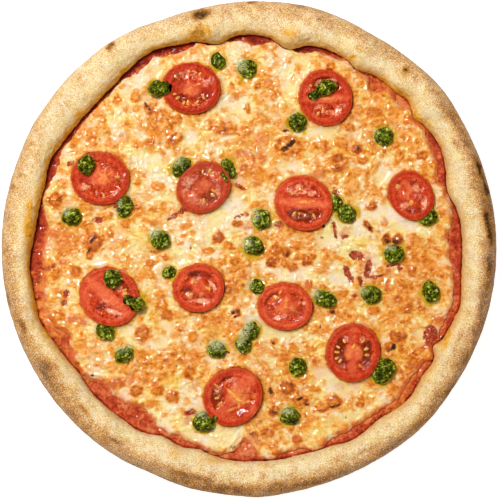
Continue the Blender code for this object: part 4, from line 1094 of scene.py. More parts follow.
def cheese_finish():
    made = Finish(
        "melted_cheese", Specular_IOR_Level=0.25, Specular_Tint=(1, 0.85, 0.6, 1), Coat_Roughness=0.11,
        Subsurface_Weight=0.35, Subsurface_Radius=(1.0, 0.4, 0.12), Subsurface_Scale=0.0012,
    )
    tone, sauce, oil, veil, burn = made.masks("tone", "sauce", "oil", "veil", "burn")
    pale, red, yellow, wet = made.masks("pale", "red", "yellow", "wet")
    curd = made.grain(2.0, 1.5, 0.5, 1.5)
    fine = made.grain(0.75, 2.0, 0.7, 0.8)
    pulled = made.strands(9.0, 7.0, 2.2)
    stringy = made.vary(0.03, 4.2, 2.0, 0.5, 2.0) + 0.55 * (pulled - 0.5) - 0.08 * made.crease(4.2)
    shade = tone + (1 - 0.5 * pale) * stringy + (0.12 * (curd - 0.5) + 0.45 * (fine - 0.5))
    # The pale pools take cream colour with whiter streaks that are painted highlights.
    melt = made.mix(0.8 * pale, made.ramp(shade, MELT), made.ramp(0.6 * pulled + 0.4 * curd, CREAM_AND_PAINTED_GLINTS))
    melt = made.mix(0.75 * yellow, melt, YELLOW_CURD)
    melt = made.butter(made.step(made.grain(11, 2.0, 0.45, 0.5), 0.39, 0.61), melt, 0.22)
    melt = made.mix(made.step(red + made.vary(0.1, 2.0), 0.0, 0.95), melt, RED_STAIN)
    melt = made.mix(made.step(oil, 0.1, 0.8), melt, HERB_OIL)
    # Painted sheen: a pale film painted where the lamp reflects off the oil beside the dollops.
    melt = made.mix(veil * made.step(curd, 0.4, 0.52), melt, PAINTED_HERB_SHEEN)
    pulp = made.ramp(fine + 0.6 * (curd - 0.5), SAUCE_PULP)
    melt = made.mix(made.step(sauce + made.vary(0.16, 1.6), 0.25, 0.6), melt, pulp)
    ragged = burn * (1 + made.vary(0.35, 1.0))
    melt = made.mix(made.step(ragged, 0.08, 0.5), melt, BURNT_RIM)
    melt = made.mix(made.step(ragged, 0.5, 1.0), melt, BURNT)
    relief = (1 - 0.6 * pale) * (0.4 * curd + 0.5 * pulled + 0.2 * fine)
    return made.finish(
        Base_Color=melt, Roughness=0.22 + 0.36 * curd, Coat_Weight=wet, Normal=made.bump(relief, 0.9)
    )


def cheese_disc():
    """A closed disc of radius 1 in six even sectors, and how many of its vertices are on top."""
    bm = bmesh.new()
    bmesh.ops.create_circle(bm, cap_ends=True, cap_tris=True, segments=6, radius=1)
    bmesh.ops.subdivide_edges(bm, edges=bm.edges, cuts=CHEESE_RINGS - 1, use_grid_fill=True)
    bmesh.ops.triangulate(bm, faces=bm.faces)
    top_count = len(bm.verts)
    rim_edges = [edge for edge in bm.edges if edge.is_boundary]
    wall = bmesh.ops.extrude_edge_only(bm, edges=rim_edges)["geom"]
    foot_edges = [item for item in wall if isinstance(item, bmesh.types.BMEdge) and item.is_boundary]
    lid = bmesh.ops.edgeloop_fill(bm, edges=foot_edges)["faces"]
    bmesh.ops.poke(bm, faces=lid)
    return bm, top_count


def make_cheese():
    bm, top_count = cheese_disc()
    raw = places_of(bm)
    radius, angle = polar(raw[:, 0], raw[:, 1])
    share = radius / hexagon_reach(angle)
    ring = flat(*from_polar(np.full(len(angle), EDGE_NOISE_R), angle))
    ragged = cheese_radius(angle) + EDGE_WANDER * Grain(38)(ring, 4.5, 3)
    reach = np.minimum(ragged, lip_radius(angle) - LIP_CLEARANCE)
    x, y = from_polar(share * reach, angle)
    field = CheeseField(x, y)
    inward = (1 - share) * reach
    tomato_near = np.minimum.reduce([tomato_distance(x, y, number) for number in SLICES])
    on_cheese = [number for number in DOLLOP_NUMBERS if number not in ON_TOMATO]
    dollop_near = np.minimum.reduce([dollop_distance(x, y, number) for number in on_cheese])

    patch, spot, pool = field.marks(PATCHES, 0.25), field.marks(SPOTS, 0.3), field.marks(POOLS, 0.4)
    hole, yellow = field.marks(HOLES, 0.35), field.marks(YELLOWS, 0.4)
    blister_relief, blister_toast, blister_sheen_ring = field.blisters()
    small_relief, small_toast = field.scattered()
    zone = field.zones()
    calm = 1 - 0.92 * np.clip(1.3 * pool, 0, 1)
    smooth = calm * (1 - np.clip(patch, 0, 1))

    islands, strands, creases = CURD_RELIEF
    curds = islands * field.islands + strands * field.strands + creases * field.creases
    height = 0.45 * field.broad + calm * curds + smooth * small_relief
    height += (
        blister_relief * (1 + 0.3 * field.bits) + 0.8 * patch + 0.6 * patch * field.wrinkles
        + 0.35 * spot + 0.3 * yellow - 0.9 * hole - 0.25
    )
    height *= smoothstep(-0.5, 3.5, tomato_near) * smoothstep(-1.0, 2.0, dollop_near)
    hug = DRAWN_UP * np.exp(-np.maximum(tomato_near, 0) / 1.6) * smoothstep(-0.3, 0.1, tomato_near)
    height += hug * (0.75 + 0.5 * field.lumps(field.points, 9))
    edge = smoothstep(0, EDGE_SLOPE, inward)
    thickness = CHEESE_T * (CHEESE_EDGE + (1 - CHEESE_EDGE) * edge)
    top = np.arange(len(raw)) < top_count
    put_places(bm, x, y, np.where(top, CHEESE_Z + thickness + height * edge, CHEESE_Z))
    piece = Piece("cheese_melt", bm)

    raw_tone = 0.42 + 1.0 * zone + 0.05 * field.broad + calm * (0.17 * field.islands + 0.05 * field.bits)
    two_tone = smoothstep(0.27, 0.54, raw_tone)
    tone = 0.14 + 0.24 * two_tone + 0.6 * (raw_tone - 0.36)
    # Paler on the raised strands and crease ridges and darker in the hollows between them. In part these are
    # pale strands of fat, and in part painted light and shade that follow the relief.
    tone -= calm * (0.13 * smoothstep(0.72, 0.96, field.strands) + 0.12 * field.creases + 0.03)
    tone += smooth * small_toast * (0.55 + 2.5 * np.clip(zone, 0, 0.2))
    tone = np.maximum(tone, 0.98 * spot - 0.25 * (1 - two_tone) * spot)
    tone = np.maximum(tone, patch * (0.90 + 0.32 * field.bits - 0.28 * field.wrinkles))
    # Paler ring round the blisters, in part a painted highlight.
    tone -= 0.10 * blister_sheen_ring * (1 - patch)
    tone = np.maximum(tone, blister_toast * (1 + 0.22 * field.bits))
    tone -= 0.10 * smoothstep(3.0, 0, inward)
    # Painted shade: the cheese is darkened in a narrow ring round every slice, standing for the slice's shadow
    # on it.
    tone += 0.45 * bell(np.maximum(tomato_near, 0) / 0.9)
    pale = np.clip(pool * 0.85 - 0.35 * two_tone - 0.5 * blister_toast, 0, 1)
    creamy_edge = smoothstep(50, 70, angle) * smoothstep(185, 165, angle)
    red_edge = (0.7 + 0.5 * field.islands) * smoothstep(4.5, 0, inward) * (1 - 0.7 * creamy_edge)
    red = field.marks(STAINS, 0.5) + red_edge
    red += 0.22 * smoothstep(0.25, 0.9, field.lumps(field.points + 50, 12, 3))
    lively = 0.5 + 0.5 * smoothstep(-0.4, 0.4, field.lumps(field.points, 7))
    halo = 0.8 * smoothstep(2.3, 0.9, dollop_near) * lively
    oil = np.maximum(halo, field.marks(POOLS_OF_OIL, 0.35) * smoothstep(6.0, 1.0, dollop_near))
    burn = field.marks(CRACKS, 0.4)
    wet = np.maximum(0.2 + 0.8 * smoothstep(-0.2, 0.4, field.lumps(field.points, 4, 2)), 0.6 * oil)
    wet = wet * (1 - 0.8 * np.clip(burn, 0, 1))
    # Painted sheen of the lamp on the oil beside some dollops.
    veil = field.marks(PAINTED_SHEENS, 0.35)
    piece.paint(
        tone=tone, sauce=hole, oil=oil, veil=veil, burn=burn, pale=pale, red=red, yellow=yellow, wet=wet
    )
    piece.finish(cheese_finish(), "cheese", "cheese")


# ---------------------------------------------------------------- tomatoes

SLICE_AROUND = 176
SLICE_ALONG = 84
SIDE_STEPS = 12
FOOT_STEPS = 4
FLAT_SHARE = 0.94  # share of a slice's radius where its flat faces end and its round side begins
CORE_SHARE = 0.22
WALL_SHARE = 0.77
CHAMBER_DEPTH = 1.2
CHAMBER_ROUNDING = 1.1  # how softly a seed chamber's corners are rounded
WIDER = 4  # how many degrees a chamber's ends reach farther than in the part's source
WIDENED = {10: 9, 5: 8, 11: 8}  # the same for single slices
DULL = {4: 0.22}  # slice and how brown it has dried
RIDGE, PALE_RISE, GOLD_RISE = 0.22, 0.2, 0.12  # heights of wet ridges, pale jelly and yellow streaks
OUTSIDE = -9.0  # an inset that stands for far outside every seed chamber
# How light each slice's flesh is.
SLICE_TONES = (-1.2, -0.7, -0.6, -0.8, 0.1, -0.6, 0.0, 0.2, 0.4, -0.5, -0.3)

# What the cut faces of the slices show, as marks: redder and smoother flesh, yellow streaks, pale jelly,
# deep hollows, and wet ridges that catch the light. Where pale jelly lies on the wet ridges it is in part a
# painted highlight.
FLESH = (
    (191, 90, 9, 8, 0, 0.7), (205, 83, 7, 3, 40, 0.5), (326, 99, 22, 4, 3, 0.8), (104, 177, 13, 9, 20, 0.8),
    (190, 196, 9, 6, -45, 0.9), (203, 186, 9, 6, 30, 0.7), (303, 203, 26, 4.5, -4, 0.9),
    (405, 190, 9, 9, 0, 0.6), (410, 196, 3, 16, 0, 0.4), (108, 297, 27, 6, -42, 0.8),
    (199, 287, 6, 6, 0, 0.6), (286, 306, 13, 8, 0, 0.6), (353, 336, 3.5, 10, 0, 0.45),
    (352, 368, 4, 9, 0, 0.45), (349, 352, 5.5, 7.5, 0, 0.9), (358, 353, 5.5, 7.5, 0, 0.9),
    (243, 384, 14, 7, 35, 0.8), (236, 398, 12, 10, 0, 0.7), (252, 408, 5, 9, 30, 0.4),
    (84, 300, 6, 12, 0, 0.3), (226, 412, 12, 6, -20, 0.4),
)
GOLD = (
    (191, 88, 7, 1.6, 25, 0.5), (189, 92, 4, 1.4, -40, 0.4), (327, 99, 8, 1.4, 5, 0.6),
    (104, 177, 10, 1.3, 30, 0.6), (104, 177, 10, 1.3, -40, 0.6), (105, 176, 8, 1.3, 85, 0.5),
    (97, 182, 6, 1.2, 10, 0.4), (306, 202, 9, 1.6, 5, 0.8), (302, 214, 6, 1.3, -10, 0.5),
    (311, 212, 3, 1.3, 20, 0.4), (411, 203, 3, 2.2, 80, 0.9), (398, 187, 3, 2, 20, 0.8),
    (409, 194, 8, 1.6, 70, 0.4), (125, 293, 2.2, 1.8, 0, 0.9), (104, 300, 5, 1.3, -40, 0.4),
    (193, 281, 3, 1.8, 20, 0.8), (208, 288, 3, 1.8, -30, 0.9), (201, 295, 3, 1.6, 60, 0.6),
    (191, 296, 3, 1.8, 60, 0.7), (286, 305, 9, 1.6, 85, 0.7), (281, 309, 7, 1.3, 20, 0.5),
    (292, 309, 7, 1.3, -30, 0.5), (276, 298, 3, 2, -10, 1.0), (280, 293, 3, 1.6, 60, 0.8),
    (353, 346, 3, 1.6, 60, 0.9), (348, 353, 3.6, 6, -15, 0.4), (358, 352, 3.6, 6, 15, 0.4),
    (238, 396, 10, 8, -35, 0.5), (232, 393, 7, 1.5, -38, 0.9), (238, 399, 5, 1.6, -30, 1.0),
    (246, 402, 5, 1.3, 15, 0.7), (248, 390, 4, 1.3, 60, 0.6), (232, 409, 6, 1.4, 20, 0.7),
    (239, 405, 4, 1.3, 85, 0.7), (254, 398, 4, 1.3, 80, 0.5), (224, 403, 4, 1.3, 60, 0.4),
)
PALE_MARKS_AND_GLINTS = (
    (209, 82, 7, 3, 42, 0.7), (186, 75, 12, 3.5, 12, 0.4), (318, 83, 4, 2.2, 40, 1.0),
    (333, 81, 4, 1.8, -20, 1.0), (309, 89, 3.5, 2, 60, 0.9), (340, 108, 6, 3, 30, 0.6),
    (331, 113, 7, 2.4, -10, 0.6), (319, 107, 5, 2, 15, 0.5), (86, 188, 5, 3, 10, 0.8),
    (122, 178, 3, 4, 0, 0.4), (115, 193, 5, 2.4, 40, 0.6), (189, 181, 8, 5, 30, 0.8),
    (211, 173, 6, 4, -40, 0.7), (199, 202, 7, 3, 0, 0.6), (218, 191, 2.4, 7, 0, 0.5),
    (193, 198, 4, 4, 0, 0.6), (187, 189, 5, 2, 35, 0.9), (299, 190, 10, 5, 8, 0.5),
    (312, 194, 4, 3, 0, 0.5), (290, 190, 4, 3, 0, 0.5), (416, 189, 3, 5, 20, 0.6),
    (424, 203, 3, 7, -10, 0.8), (404, 206, 5, 3, 30, 0.6), (419, 197, 6, 3, -20, 0.5),
    (107, 303, 8, 3.5, -25, 0.5), (114, 312, 8, 2.2, -15, 1.0), (120, 289, 4, 3, 0, 0.4),
    (202, 301, 8, 2.4, -8, 1.0), (213, 286, 6, 1.8, -55, 0.9), (189, 294, 3, 3.4, 0, 0.7),
    (197, 278, 5, 1.5, 5, 0.6), (278, 318, 4, 2.2, 0, 1.0), (284, 316, 4, 1.6, 15, 0.7),
    (304, 303, 2, 1.6, 40, 0.9), (347, 339, 2.6, 3.4, 20, 0.6), (218, 391, 4, 6, 0, 0.5),
    (231, 380, 6, 2, 20, 0.7), (235, 386, 1.6, 4, 0, 0.7), (91, 295, 1.4, 1.4, 0, 1.0),
    (362, 338, 3, 2, 30, 0.5), (300, 217, 9, 2, 0, 0.4),
)
DEEP = (
    (180, 97, 7, 4, -35, 0.5), (205, 95, 7, 5, 30, 0.5), (177, 78, 6, 3, 40, 0.5),
    (303, 215, 17, 6, -3, 0.8), (205, 170, 7, 5, 0, 0.6), (209, 196, 7, 6, 0, 0.6),
    (410, 183, 6, 3, -20, 0.4), (415, 211, 8, 3, 0, 0.5), (101, 306, 5, 5, 0, 0.6),
    (128, 287, 7, 4, -45, 0.5), (198, 274, 11, 3.5, 0, 0.9), (187, 289, 6, 4, 0, 0.7),
    (197, 296, 5, 3, 0, 0.5), (266, 300, 6, 4, 70, 0.3), (341, 351, 6, 14, 0, 0.85),
    (366, 353, 5, 13, 0, 0.85), (216, 396, 6, 11, 0, 0.6), (226, 377, 8, 3, 25, 0.6),
    (326, 84, 16, 7, 0, 0.6), (212, 273.5, 1, 1, 0, 1.6), (184, 286.5, 1, 0.8, 0, 1.2),
    (190, 187, 2, 2, 0, 0.9), (296, 308, 10, 5, 0, 0.2), (122, 182, 4, 6, 0, 0.3), (84, 176, 6, 8, 0, 0.4),
)
SHINE = (
    (197, 104, 5, 1.2, 15, 1), (207, 98, 3.5, 1.2, 50, 1), (186, 104, 4, 1.2, -12, 0.7),
    (214, 95, 5, 1.2, 65, 0.6), (335, 112, 5, 1.2, 15, 0.9), (322, 116, 5, 1.2, -8, 0.8),
    (124, 178, 5, 1.3, 62, 1), (114, 167, 3, 1.2, 30, 0.8), (117, 195, 5, 1.3, 40, 1),
    (220, 192, 6, 1.3, 72, 0.9), (206, 204, 7, 1.2, 15, 0.8), (183, 172, 9, 1.1, 42, 0.6),
    (292, 211, 4, 1.3, 22, 1), (318, 213, 4.5, 1.4, 60, 1), (302, 220, 8, 1.2, -4, 0.9),
    (299, 216, 1.2, 3, 0, 0.7), (306, 216, 1.2, 3, 0, 0.7), (418, 185, 5, 1.2, -58, 0.9),
    (426, 205, 5, 1.2, 75, 0.9), (402, 207, 5, 1.2, 40, 0.7), (116, 313, 7, 1.5, -12, 1),
    (215, 307, 8, 1.3, 38, 1), (204, 303, 6, 1.3, -5, 1), (213, 286, 5, 1.2, -55, 1),
    (277, 319, 4, 1.5, 0, 1), (285, 317, 4, 1.2, 20, 1), (304, 303, 2, 1.4, 40, 1),
    (334, 352, 5, 1.2, 85, 0.9), (343, 367, 5, 1.3, -30, 1), (363, 364, 7, 1.3, 47, 1),
    (370, 350, 5, 1.2, 85, 0.9), (346, 337, 3, 1.2, 20, 0.8), (252, 395, 7, 1.5, 82, 1),
    (245, 409, 9, 1.6, 35, 1), (213, 400, 7, 1.3, -75, 0.9), (231, 379, 6, 1.2, 15, 0.9),
    (235, 386, 4, 1.2, -70, 0.8), (217, 391, 5, 1.2, 60, 0.6), (91, 295, 1.4, 1.4, 0, 1),
    (190, 187, 2.6, 1.2, 30, 0.9), (205, 108, 9, 1.0, 22, 0.4), (330, 119, 10, 1.0, 5, 0.4),
    (224, 203, 5, 1.0, 50, 0.4), (255, 412, 6, 1.0, 50, 0.4),
)

RED_FLESH = ((0.2, (0.31, 0.011, 0.003)), (0.5, (0.58, 0.046, 0.013)), (0.8, (0.84, 0.155, 0.055)))
JELLY = (
    (0.2, (0.22, 0.010, 0.0)), (0.48, (0.52, 0.034, 0.004)), (0.72, (0.78, 0.12, 0.03)),
    (0.9, (0.88, 0.32, 0.15)), (1.0, (0.93, 0.50, 0.32)),
)
SMOOTH_FLESH = ((0.3, (0.72, 0.080, 0.030)), (0.7, (0.92, 0.24, 0.09)))
YELLOW_STREAK = ((0.3, (0.88, 0.25, 0.06)), (0.9, (0.96, 0.55, 0.10)))
HOLLOW = (0.24, 0.010, 0.005)
HOLLOW_JELLY = (0.17, 0.018, 0.001)
PALE_JELLY_AND_GLINT_COLOUR = (0.88, 0.42, 0.29)
DRIED = (0.34, 0.10, 0.045)
SKIN = (0.62, 0.105, 0.032)
HUSK = ((0.3, (0.52, 0.16, 0.015)), (0.5, (0.76, 0.31, 0.035)), (0.75, (0.94, 0.58, 0.16)))


def tomato_finish():
    made = Finish("tomato_slice", Specular_IOR_Level=0.1, Specular_Tint=(1, 0.6, 0.45, 1), Coat_Roughness=0.06)
    skin, gel, flesh, gold, pale = made.masks("skin", "gel", "flesh", "gold", "pale")
    deep, ring, wet, dull = made.masks("deep", "ring", "wet", "dull")
    fine = made.grain(0.7, 3.0, 0.65)
    blotch = made.grain(3.2, 3.0, 0.6, 0.8)
    red = made.ramp(0.5 + 0.9 * (fine - 0.5) + 0.6 * (blotch - 0.5) + 0.12 * ring, RED_FLESH)
    jelly = made.ramp(0.5 + 1.5 * (blotch - 0.5) + 1.1 * (fine - 0.5) + 0.5 * pale - 0.3 * deep, JELLY)
    red = made.mix(0.8 * deep, red, HOLLOW)
    red = made.mix(flesh, red, made.ramp(blotch, SMOOTH_FLESH))
    red = made.mix(gel, red, jelly)
    red = made.mix(0.75 * deep * gel, red, HOLLOW_JELLY)
    # Pale jelly. Where it lies on the wet ridges it is in part a painted highlight.
    red = made.mix(0.85 * pale * made.step(fine + blotch, 0.85, 1.1), red, PALE_JELLY_AND_GLINT_COLOUR)
    red = made.mix(0.85 * gold * made.step(blotch, 0.3, 0.5), red, made.ramp(gold, YELLOW_STREAK))
    red = made.mix(dull, red, DRIED)
    red = made.mix(skin, red, SKIN)
    return made.finish(
        Base_Color=red, Roughness=0.32 - 0.2 * gel + 0.4 * (blotch - 0.5), Coat_Weight=wet,
        Normal=made.bump(made.grain(2.2, 0.6, 0.5, 0.8), 0.5 + 0.7 * gel),
    )


def seed_finish():
    made = Finish("tomato_seed", Roughness=0.25, Coat_Weight=0.6, Coat_Roughness=0.1)
    fine = made.grain(0.7, 2.0, 0.5)
    return made.finish(Base_Color=made.ramp(fine, HUSK), Normal=made.bump(fine, 0.2))


def chamber_inset(number, share, angle):
    """Millimetres inside the nearest seed chamber's outline, negative outside it."""
    size = tomato_radius(number, angle)
    out = (WALL_SHARE - share) * size
    core = (share - CORE_SHARE) * size
    best = np.full(len(share), OUTSIDE)
    for at, wide in TOMATOES[number - 1][5]:
        wide += WIDENED.get(number, WIDER)
        side = np.radians(wide - np.abs(turn_between(angle, at))) * share * size
        corners = sum(np.exp(-inset / CHAMBER_ROUNDING) for inset in (out, core, side))
        best = np.maximum(best, -CHAMBER_ROUNDING * np.log(corners))
    return best


def slice_section(step):
    """Share of the radius and height above the seat, from under the slice round its side and over its top."""
    side_end, end = FOOT_STEPS + SIDE_STEPS, SLICE_ALONG + SIDE_STEPS + FOOT_STEPS
    round_off = np.clip((step - FOOT_STEPS) / SIDE_STEPS, 0, 1)
    bulge = np.sqrt(np.maximum(np.sin(np.pi * round_off), 0))
    share = np.interp(step, (0, FOOT_STEPS), (0.02, FLAT_SHARE))
    share = np.where(step > FOOT_STEPS, FLAT_SHARE + (1 - FLAT_SHARE) * bulge, share)
    share = np.where(step > side_end, np.interp(step, (side_end, end), (FLAT_SHARE, 0.012)), share)
    return share, TOMATO_T * (1 - np.cos(np.pi * round_off)) / 2


def make_tomato(number, surface):
    bm, angle, step = make_ring(SLICE_AROUND, SLICE_ALONG + SIDE_STEPS + FOOT_STEPS)
    share, z = slice_section(step)
    x, y = from_polar(share * tomato_radius(number, angle), angle)
    at_x, at_y = TOMATOES[number - 1][:2]
    put_places(bm, x + at_x, y + at_y, z + TOPPING_Z)
    close_ring(bm)
    piece = Piece(f"slice_{number:02d}", bm)

    places = piece.read()
    x, y = places[:, 0], places[:, 1]
    lumps, fibres, pulp = Grain(100 + number), Grain(200 + number), Grain(300 + number)
    reach, angle = about_tomato(x + 0.7 * lumps(places, 5), y + 0.7 * fibres(places, 5), number)
    inset = chamber_inset(number, reach / tomato_radius(number, angle), angle)
    reach, angle = about_tomato(x, y, number)
    share = reach / tomato_radius(number, angle)
    top = smoothstep(TOMATO_TOP - 0.6, TOMATO_TOP - 0.05, places[:, 2])
    wx, wy = x + 0.30 * lumps(places, 2.6), y + 0.30 * fibres(places, 2.6)
    flesh, gold, pale, deep = (strongest(wx, wy, table, 0.35) for table in (FLESH, GOLD, PALE_MARKS_AND_GLINTS, DEEP))
    shine = strongest(wx, wy, SHINE, 0.6)
    even = 1 - 0.8 * shine
    wave = even * (0.12 * lumps(places, 6, 2) + 0.07 * fibres(places, 1.6, 2))
    gel = smoothstep(-0.1, 0.8, inset) * (1 - 0.8 * flesh)
    drop = 0.85 * CHAMBER_DEPTH * smoothstep(-0.3, 2.8, inset) * (1 - 0.6 * flesh)
    drop = drop - gel * (0.45 * even * pulp(places, 3.2, 2) + 0.1) + 0.2 * deep
    rise = RIDGE * shine + PALE_RISE * pale + GOLD_RISE * gold
    bevel = smoothstep(0.9, 0.97, share)
    places[:, 2] += top * (wave - drop + rise) - 0.25 * top * bevel - 0.2 * top
    places[:, 2] = np.minimum(places[:, 2], TOMATO_TOP + 0.05)
    piece.write(places)

    edge_line = bell((share - 0.90) / 0.018) + 0.6 * bell((share - 0.835) / 0.012)
    lighter = smoothstep(0.9, 0.8, share) * smoothstep(0.7, 0.78, share)
    ring = SLICE_TONES[number - 1] - 0.7 * edge_line + 0.9 * lighter
    skin = smoothstep(0.96, 0.995, share + 0.006 * lumps(places, 3))
    brim = bell((inset - 0.9) / 0.9) * smoothstep(-0.3, 0.2, pulp(places, 4.0))
    wet = np.maximum(np.maximum(0.35 * gel, 0.9 * brim), smoothstep(0.2, 0.6, shine))
    piece.paint(
        skin=skin, gel=gel * top, flesh=flesh * top * (1 - skin), gold=gold * top, pale=pale * top,
        deep=deep * top, ring=ring * top, wet=wet * (1 - 0.8 * skin),
        dull=np.full(len(wet), DULL.get(number, 0.0)),
    )
    piece.finish(surface, "tomato", f"tomato_{number:02d}")


# Seeds: slice, across, down, direction.
SEEDS = (
    (1, 175, 76, 130), (1, 180, 73, 120), (1, 189, 71.5, 95), (1, 196, 72, 75), (1, 200, 74, 60),
    (1, 200, 84, 20), (1, 175, 94, 200), (1, 178, 98, 215), (1, 184, 103, 245), (1, 188, 103, 262),
    (1, 197, 102.5, 40), (1, 203, 95, 340), (1, 204, 98, 330), (2, 310, 85, 130), (2, 318, 114, 240),
    (2, 323, 110, 265), (3, 84, 184, 190), (3, 85, 189, 200), (3, 104, 196, 280), (3, 112, 193, 310),
    (3, 118, 177, 0), (4, 193, 172, 120), (4, 197, 171, 100), (4, 203, 172, 85), (4, 210, 171, 60),
    (4, 214, 191, 330), (4, 213, 195, 320), (4, 197, 201, 250), (4, 204, 201, 275), (6, 398, 186, 140),
    (6, 411, 203, 270), (7, 108, 304, 255), (7, 125, 290, 30), (8, 193, 281, 120), (8, 208, 288, 20),
    (8, 191, 295, 215), (8, 201, 294, 300), (9, 275, 297, 150), (9, 279, 293, 130), (10, 344, 341, 120),
    (10, 338, 347, 150), (10, 337, 352, 180), (10, 337, 358, 205), (10, 340, 361, 225), (10, 363, 341, 45),
    (10, 366, 349, 15), (10, 367, 355, 355), (10, 360, 366, 310), (11, 216, 385, 140), (11, 217, 391, 165),
    (11, 217, 398, 190), (11, 220, 404, 215), (5, 292, 193, 130), (5, 300, 189, 100), (5, 294, 214, 230),
    (5, 314, 216, 300),
)
SEED_HALVES = (1.75, 0.92, 0.5)
SEED_Z = TOMATO_TOP - 0.85


def make_seeds(surface):
    bm = bmesh.new()
    draw = np.random.default_rng(7)
    for _, across, down, direction in SEEDS:
        size = draw.uniform(0.85, 1.15)
        place = (*photo_mm(across, down), SEED_Z + draw.uniform(-0.1, 0.2))
        halves = [size * half for half in SEED_HALVES]
        add_ball(bm, place, halves, direction, 3, draw.uniform(-0.2, 0.3))
    Piece("tomato_seeds", bm).finish(surface, "tomato")


# ---------------------------------------------------------------- pesto

CHOPPED_LEAF = (
    (0.15, (0.003, 0.005, 0.0)), (0.38, (0.034, 0.045, 0.0)), (0.6, (0.115, 0.140, 0.0)),
    (0.8, (0.31, 0.37, 0.008)), (1.0, (0.62, 0.70, 0.22)),
)
OLIVE_OIL = (0.36, 0.27, 0.002)
# Colour of a painted sheen: the lamp's reflection on the dollops' oily lit side.
PAINTED_LEAF_SHEEN = (0.80, 0.82, 0.40)
# Crumbs of pesto on two slices: across, down, half length, half width, direction.
PESTO_CRUMBS = ((215, 418, 2.8, 2.6, 0), (224.5, 177, 6.0, 2.2, -62))
CRUMB_HEIGHT = 0.8
LOBE_RELIEF, LEAF_RELIEF, GRIT_RELIEF = 1.0, 0.46, 0.14
FOOT_IN_CHEESE, FOOT_ON_TOMATO = 0.25, 0.1  # how far a dollop's foot goes below its seat
SIDE_GAP = 0.15  # between a slice's side and the dollop against it


def pesto_finish():
    made = Finish("green_pesto", Specular_IOR_Level=0.25, Specular_Tint=(0.8, 1, 0.22, 1), Coat_Roughness=0.08)
    leaf, oil, veil = made.masks("leaf", "oil", "veil")
    chop = made.grain(0.9, 2.0, 0.7, 0.5)
    fleck = made.flecks(0.8)
    uneven = made.vary(0.12, 0.9, 2.0, 0.6, 0.5) + made.vary(0.14, 2.4, 1.0, 0.5, 0.8)
    green = made.ramp(leaf + uneven + 0.25 * (fleck - 0.5), CHOPPED_LEAF)
    green = made.mix(oil, green, OLIVE_OIL)
    # Painted sheen: a pale film painted on the dollops' lit side, where the lamp reflects.
    green = made.mix(veil * made.step(chop, 0.36, 0.58), green, PAINTED_LEAF_SHEEN)
    return made.finish(
        Base_Color=green, Roughness=0.2 + 0.2 * chop, Coat_Weight=0.8 * made.step(chop, 0.52, 0.64),
        Normal=made.bump(0.7 * chop + 0.3 * fleck, 0.6),
    )


def make_pesto(number, surface):
    seat = TOMATO_TOP + GAP if number in ON_TOMATO else TOPPING_Z
    lift = TOMATO_T if number in DRAPED else 0
    bm = bmesh.new()
    for x, y, half_length, half_width, direction in DOLLOPS[number - 1]:
        height = DOLLOP_RISE * (half_length + half_width) / 2 + lift
        halves = (half_length, half_width, height * (1 - DOLLOP_SINK))
        add_ball(bm, (x, y, seat + DOLLOP_SINK * height), halves, direction, 5)
    piece = Piece(f"pesto_dollop_{number:02d}", bm)

    places = piece.read()
    lumps, leaves = Grain(400 + number), Grain(500 + number)
    big, bits = lumps(places, 4.5, 2), leaves(places, 1.5, 2)
    grit = lumps(places + 40, 0.95, 1)
    places += piece.normals() * (LOBE_RELIEF * big + LEAF_RELIEF * bits + GRIT_RELIEF * grit)[:, None]
    foot = seat - (FOOT_ON_TOMATO if number in ON_TOMATO else FOOT_IN_CHEESE)
    places[:, 2] = np.maximum(places[:, 2], foot)
    carrier = BESIDE.get(number) or DRAPED.get(number)
    if carrier:
        radius, angle = about_tomato(places[:, 0], places[:, 1], carrier)
        wall = tomato_radius(carrier, angle) + SIDE_GAP
        if number in BESIDE:
            at_x, at_y = TOMATOES[carrier - 1][:2]
            x, y = from_polar(np.maximum(radius, wall), angle)
            places[:, 0], places[:, 1] = x + at_x, y + at_y
        else:
            draped = np.maximum(places[:, 2], TOMATO_TOP + 0.1)
            places[:, 2] = np.where(radius < wall, draped, places[:, 2])
    piece.write(places)
    leaf = 0.48 + 0.36 * bits + 0.22 * big + 0.30 * grit
    oil = smoothstep(1.3, 0.2, places[:, 2] - foot) * 0.9
    # Painted sheen on the lit side of the dollop.
    veil = 0.8 * strongest(places[:, 0] + 1.0 * bits, places[:, 1] + 1.0 * big, PAINTED_SHEENS, 0.8)
    piece.paint(leaf=leaf, oil=oil, veil=veil)
    piece.finish(surface, "pesto", f"pesto_{number:02d}")


def make_pesto_crumbs(surface):
    bm = bmesh.new()
    for across, down, half_length, half_width, direction in PESTO_CRUMBS:
        halves = (half_length / PIXELS_PER_MM, half_width / PIXELS_PER_MM, CRUMB_HEIGHT)
        add_ball(bm, (*photo_mm(across, down), TOMATO_TOP + 0.1), halves, direction, 4)
    piece = Piece("pesto_crumbs", bm)
    places = piece.read()
    bits = Grain(61)(places, 1.2, 2)
    piece.write(places + piece.normals() * (0.25 * bits)[:, None])
    piece.paint(leaf=0.46 + 0.5 * bits, oil=0 * bits, veil=0 * bits)
    piece.finish(surface, "pesto")


# ---------------------------------------------------------------- studio

FLOOR_HALF = 3
FLOOR_DROP = 0.0002
WHITE = (1, 1, 1)
WARM_WHITE = (1, 0.88, 0.72)
SKY_STRENGTH = 0.10
# Soft round lamps: azimuth and elevation in degrees, distance and size in metres, watts, tint.
LAMPS = {
    "key_lamp": (132, 62, 1.6, 0.4, 22.2, WHITE),
    "fill_lamp": (-55, 50, 2.2, 1.6, 7, WHITE),
    "left_lamp": (222, 38, 2.0, 1.0, 4.6, WARM_WHITE),
    "right_lamp": (42, 38, 2.0, 1.0, 4.6, WARM_WHITE),
}


def add_object(name, data):
    made = bpy.data.objects.new(name, data)
    bpy.context.collection.objects.link(made)
    return made


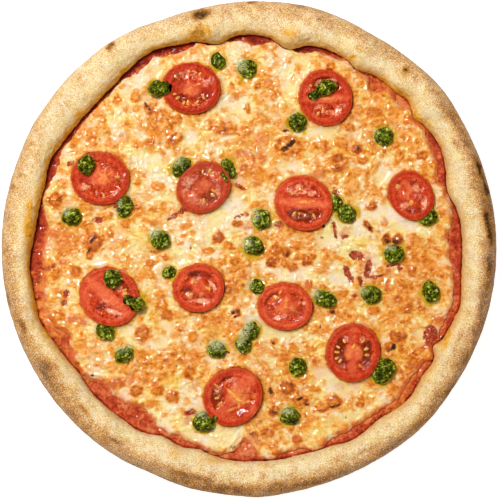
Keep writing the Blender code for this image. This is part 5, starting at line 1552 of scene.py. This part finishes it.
def make_floor():
    bm = bmesh.new()
    bmesh.ops.create_grid(bm, x_segments=1, y_segments=1, size=FLOOR_HALF)
    bmesh.ops.translate(bm, verts=bm.verts, vec=(0, 0, -FLOOR_DROP))
    mesh = bpy.data.meshes.new("floor")
    bm.to_mesh(mesh)
    bm.free()
    made = Finish("white_table", Roughness=0.9, Specular_IOR_Level=0.1, Emission_Strength=0.9)
    pale = made.mix(made.grain(60, 2.0), (0.30, 0.30, 0.30), (0.33, 0.33, 0.33))
    mesh.materials.append(made.finish(Base_Color=pale, Emission_Color=(1, 1, 1, 1)))
    add_object("floor", mesh)


def make_lamp(name, azimuth, elevation, distance, size, watts, tint):
    """A soft round lamp that shines at the pizza."""
    data = bpy.data.lights.new(name, "AREA")
    data.shape = "DISK"
    data.size = size
    data.energy = watts
    data.color = tint
    lamp = add_object(name, data)
    x, y = from_polar(distance * math.cos(math.radians(elevation)), azimuth)
    lamp.location = (x, y, distance * math.sin(math.radians(elevation)))
    lamp.rotation_euler = (-lamp.location).to_track_quat("-Z", "Y").to_euler()


def make_camera():
    """A camera straight above, where the photograph's frame and scale put it."""
    data = bpy.data.cameras.new("camera")
    data.sensor_width = SENSOR
    field = PHOTO_SIDE / PIXELS_PER_MM * MM
    data.lens = SENSOR * (CAMERA_HEIGHT - FOCUS_Z) / field
    camera = add_object("camera", data)
    x, y = photo_mm(PHOTO_CENTRE, PHOTO_CENTRE)
    camera.location = ((x - MIDDLE_X) * MM, (y - MIDDLE_Y) * MM, CAMERA_HEIGHT)
    bpy.context.scene.camera = camera


def make_studio():
    make_floor()
    for name, lamp in LAMPS.items():
        make_lamp(name, *lamp)
    world = bpy.data.worlds.new("studio")
    world.use_nodes = True
    sky = world.node_tree.nodes["Background"]
    sky.inputs["Color"].default_value = (*WARM_WHITE, 1)
    sky.inputs["Strength"].default_value = SKY_STRENGTH
    bpy.context.scene.world = world
    bpy.context.scene.view_settings.view_transform = "Standard"
    make_camera()


def main():
    make_studio()
    make_crust()
    make_sauce()
    make_cheese()
    flesh = tomato_finish()
    for number in SLICES:
        make_tomato(number, flesh)
    make_seeds(seed_finish())
    green = pesto_finish()
    for number in DOLLOP_NUMBERS:
        make_pesto(number, green)
    make_pesto_crumbs(green)


main()
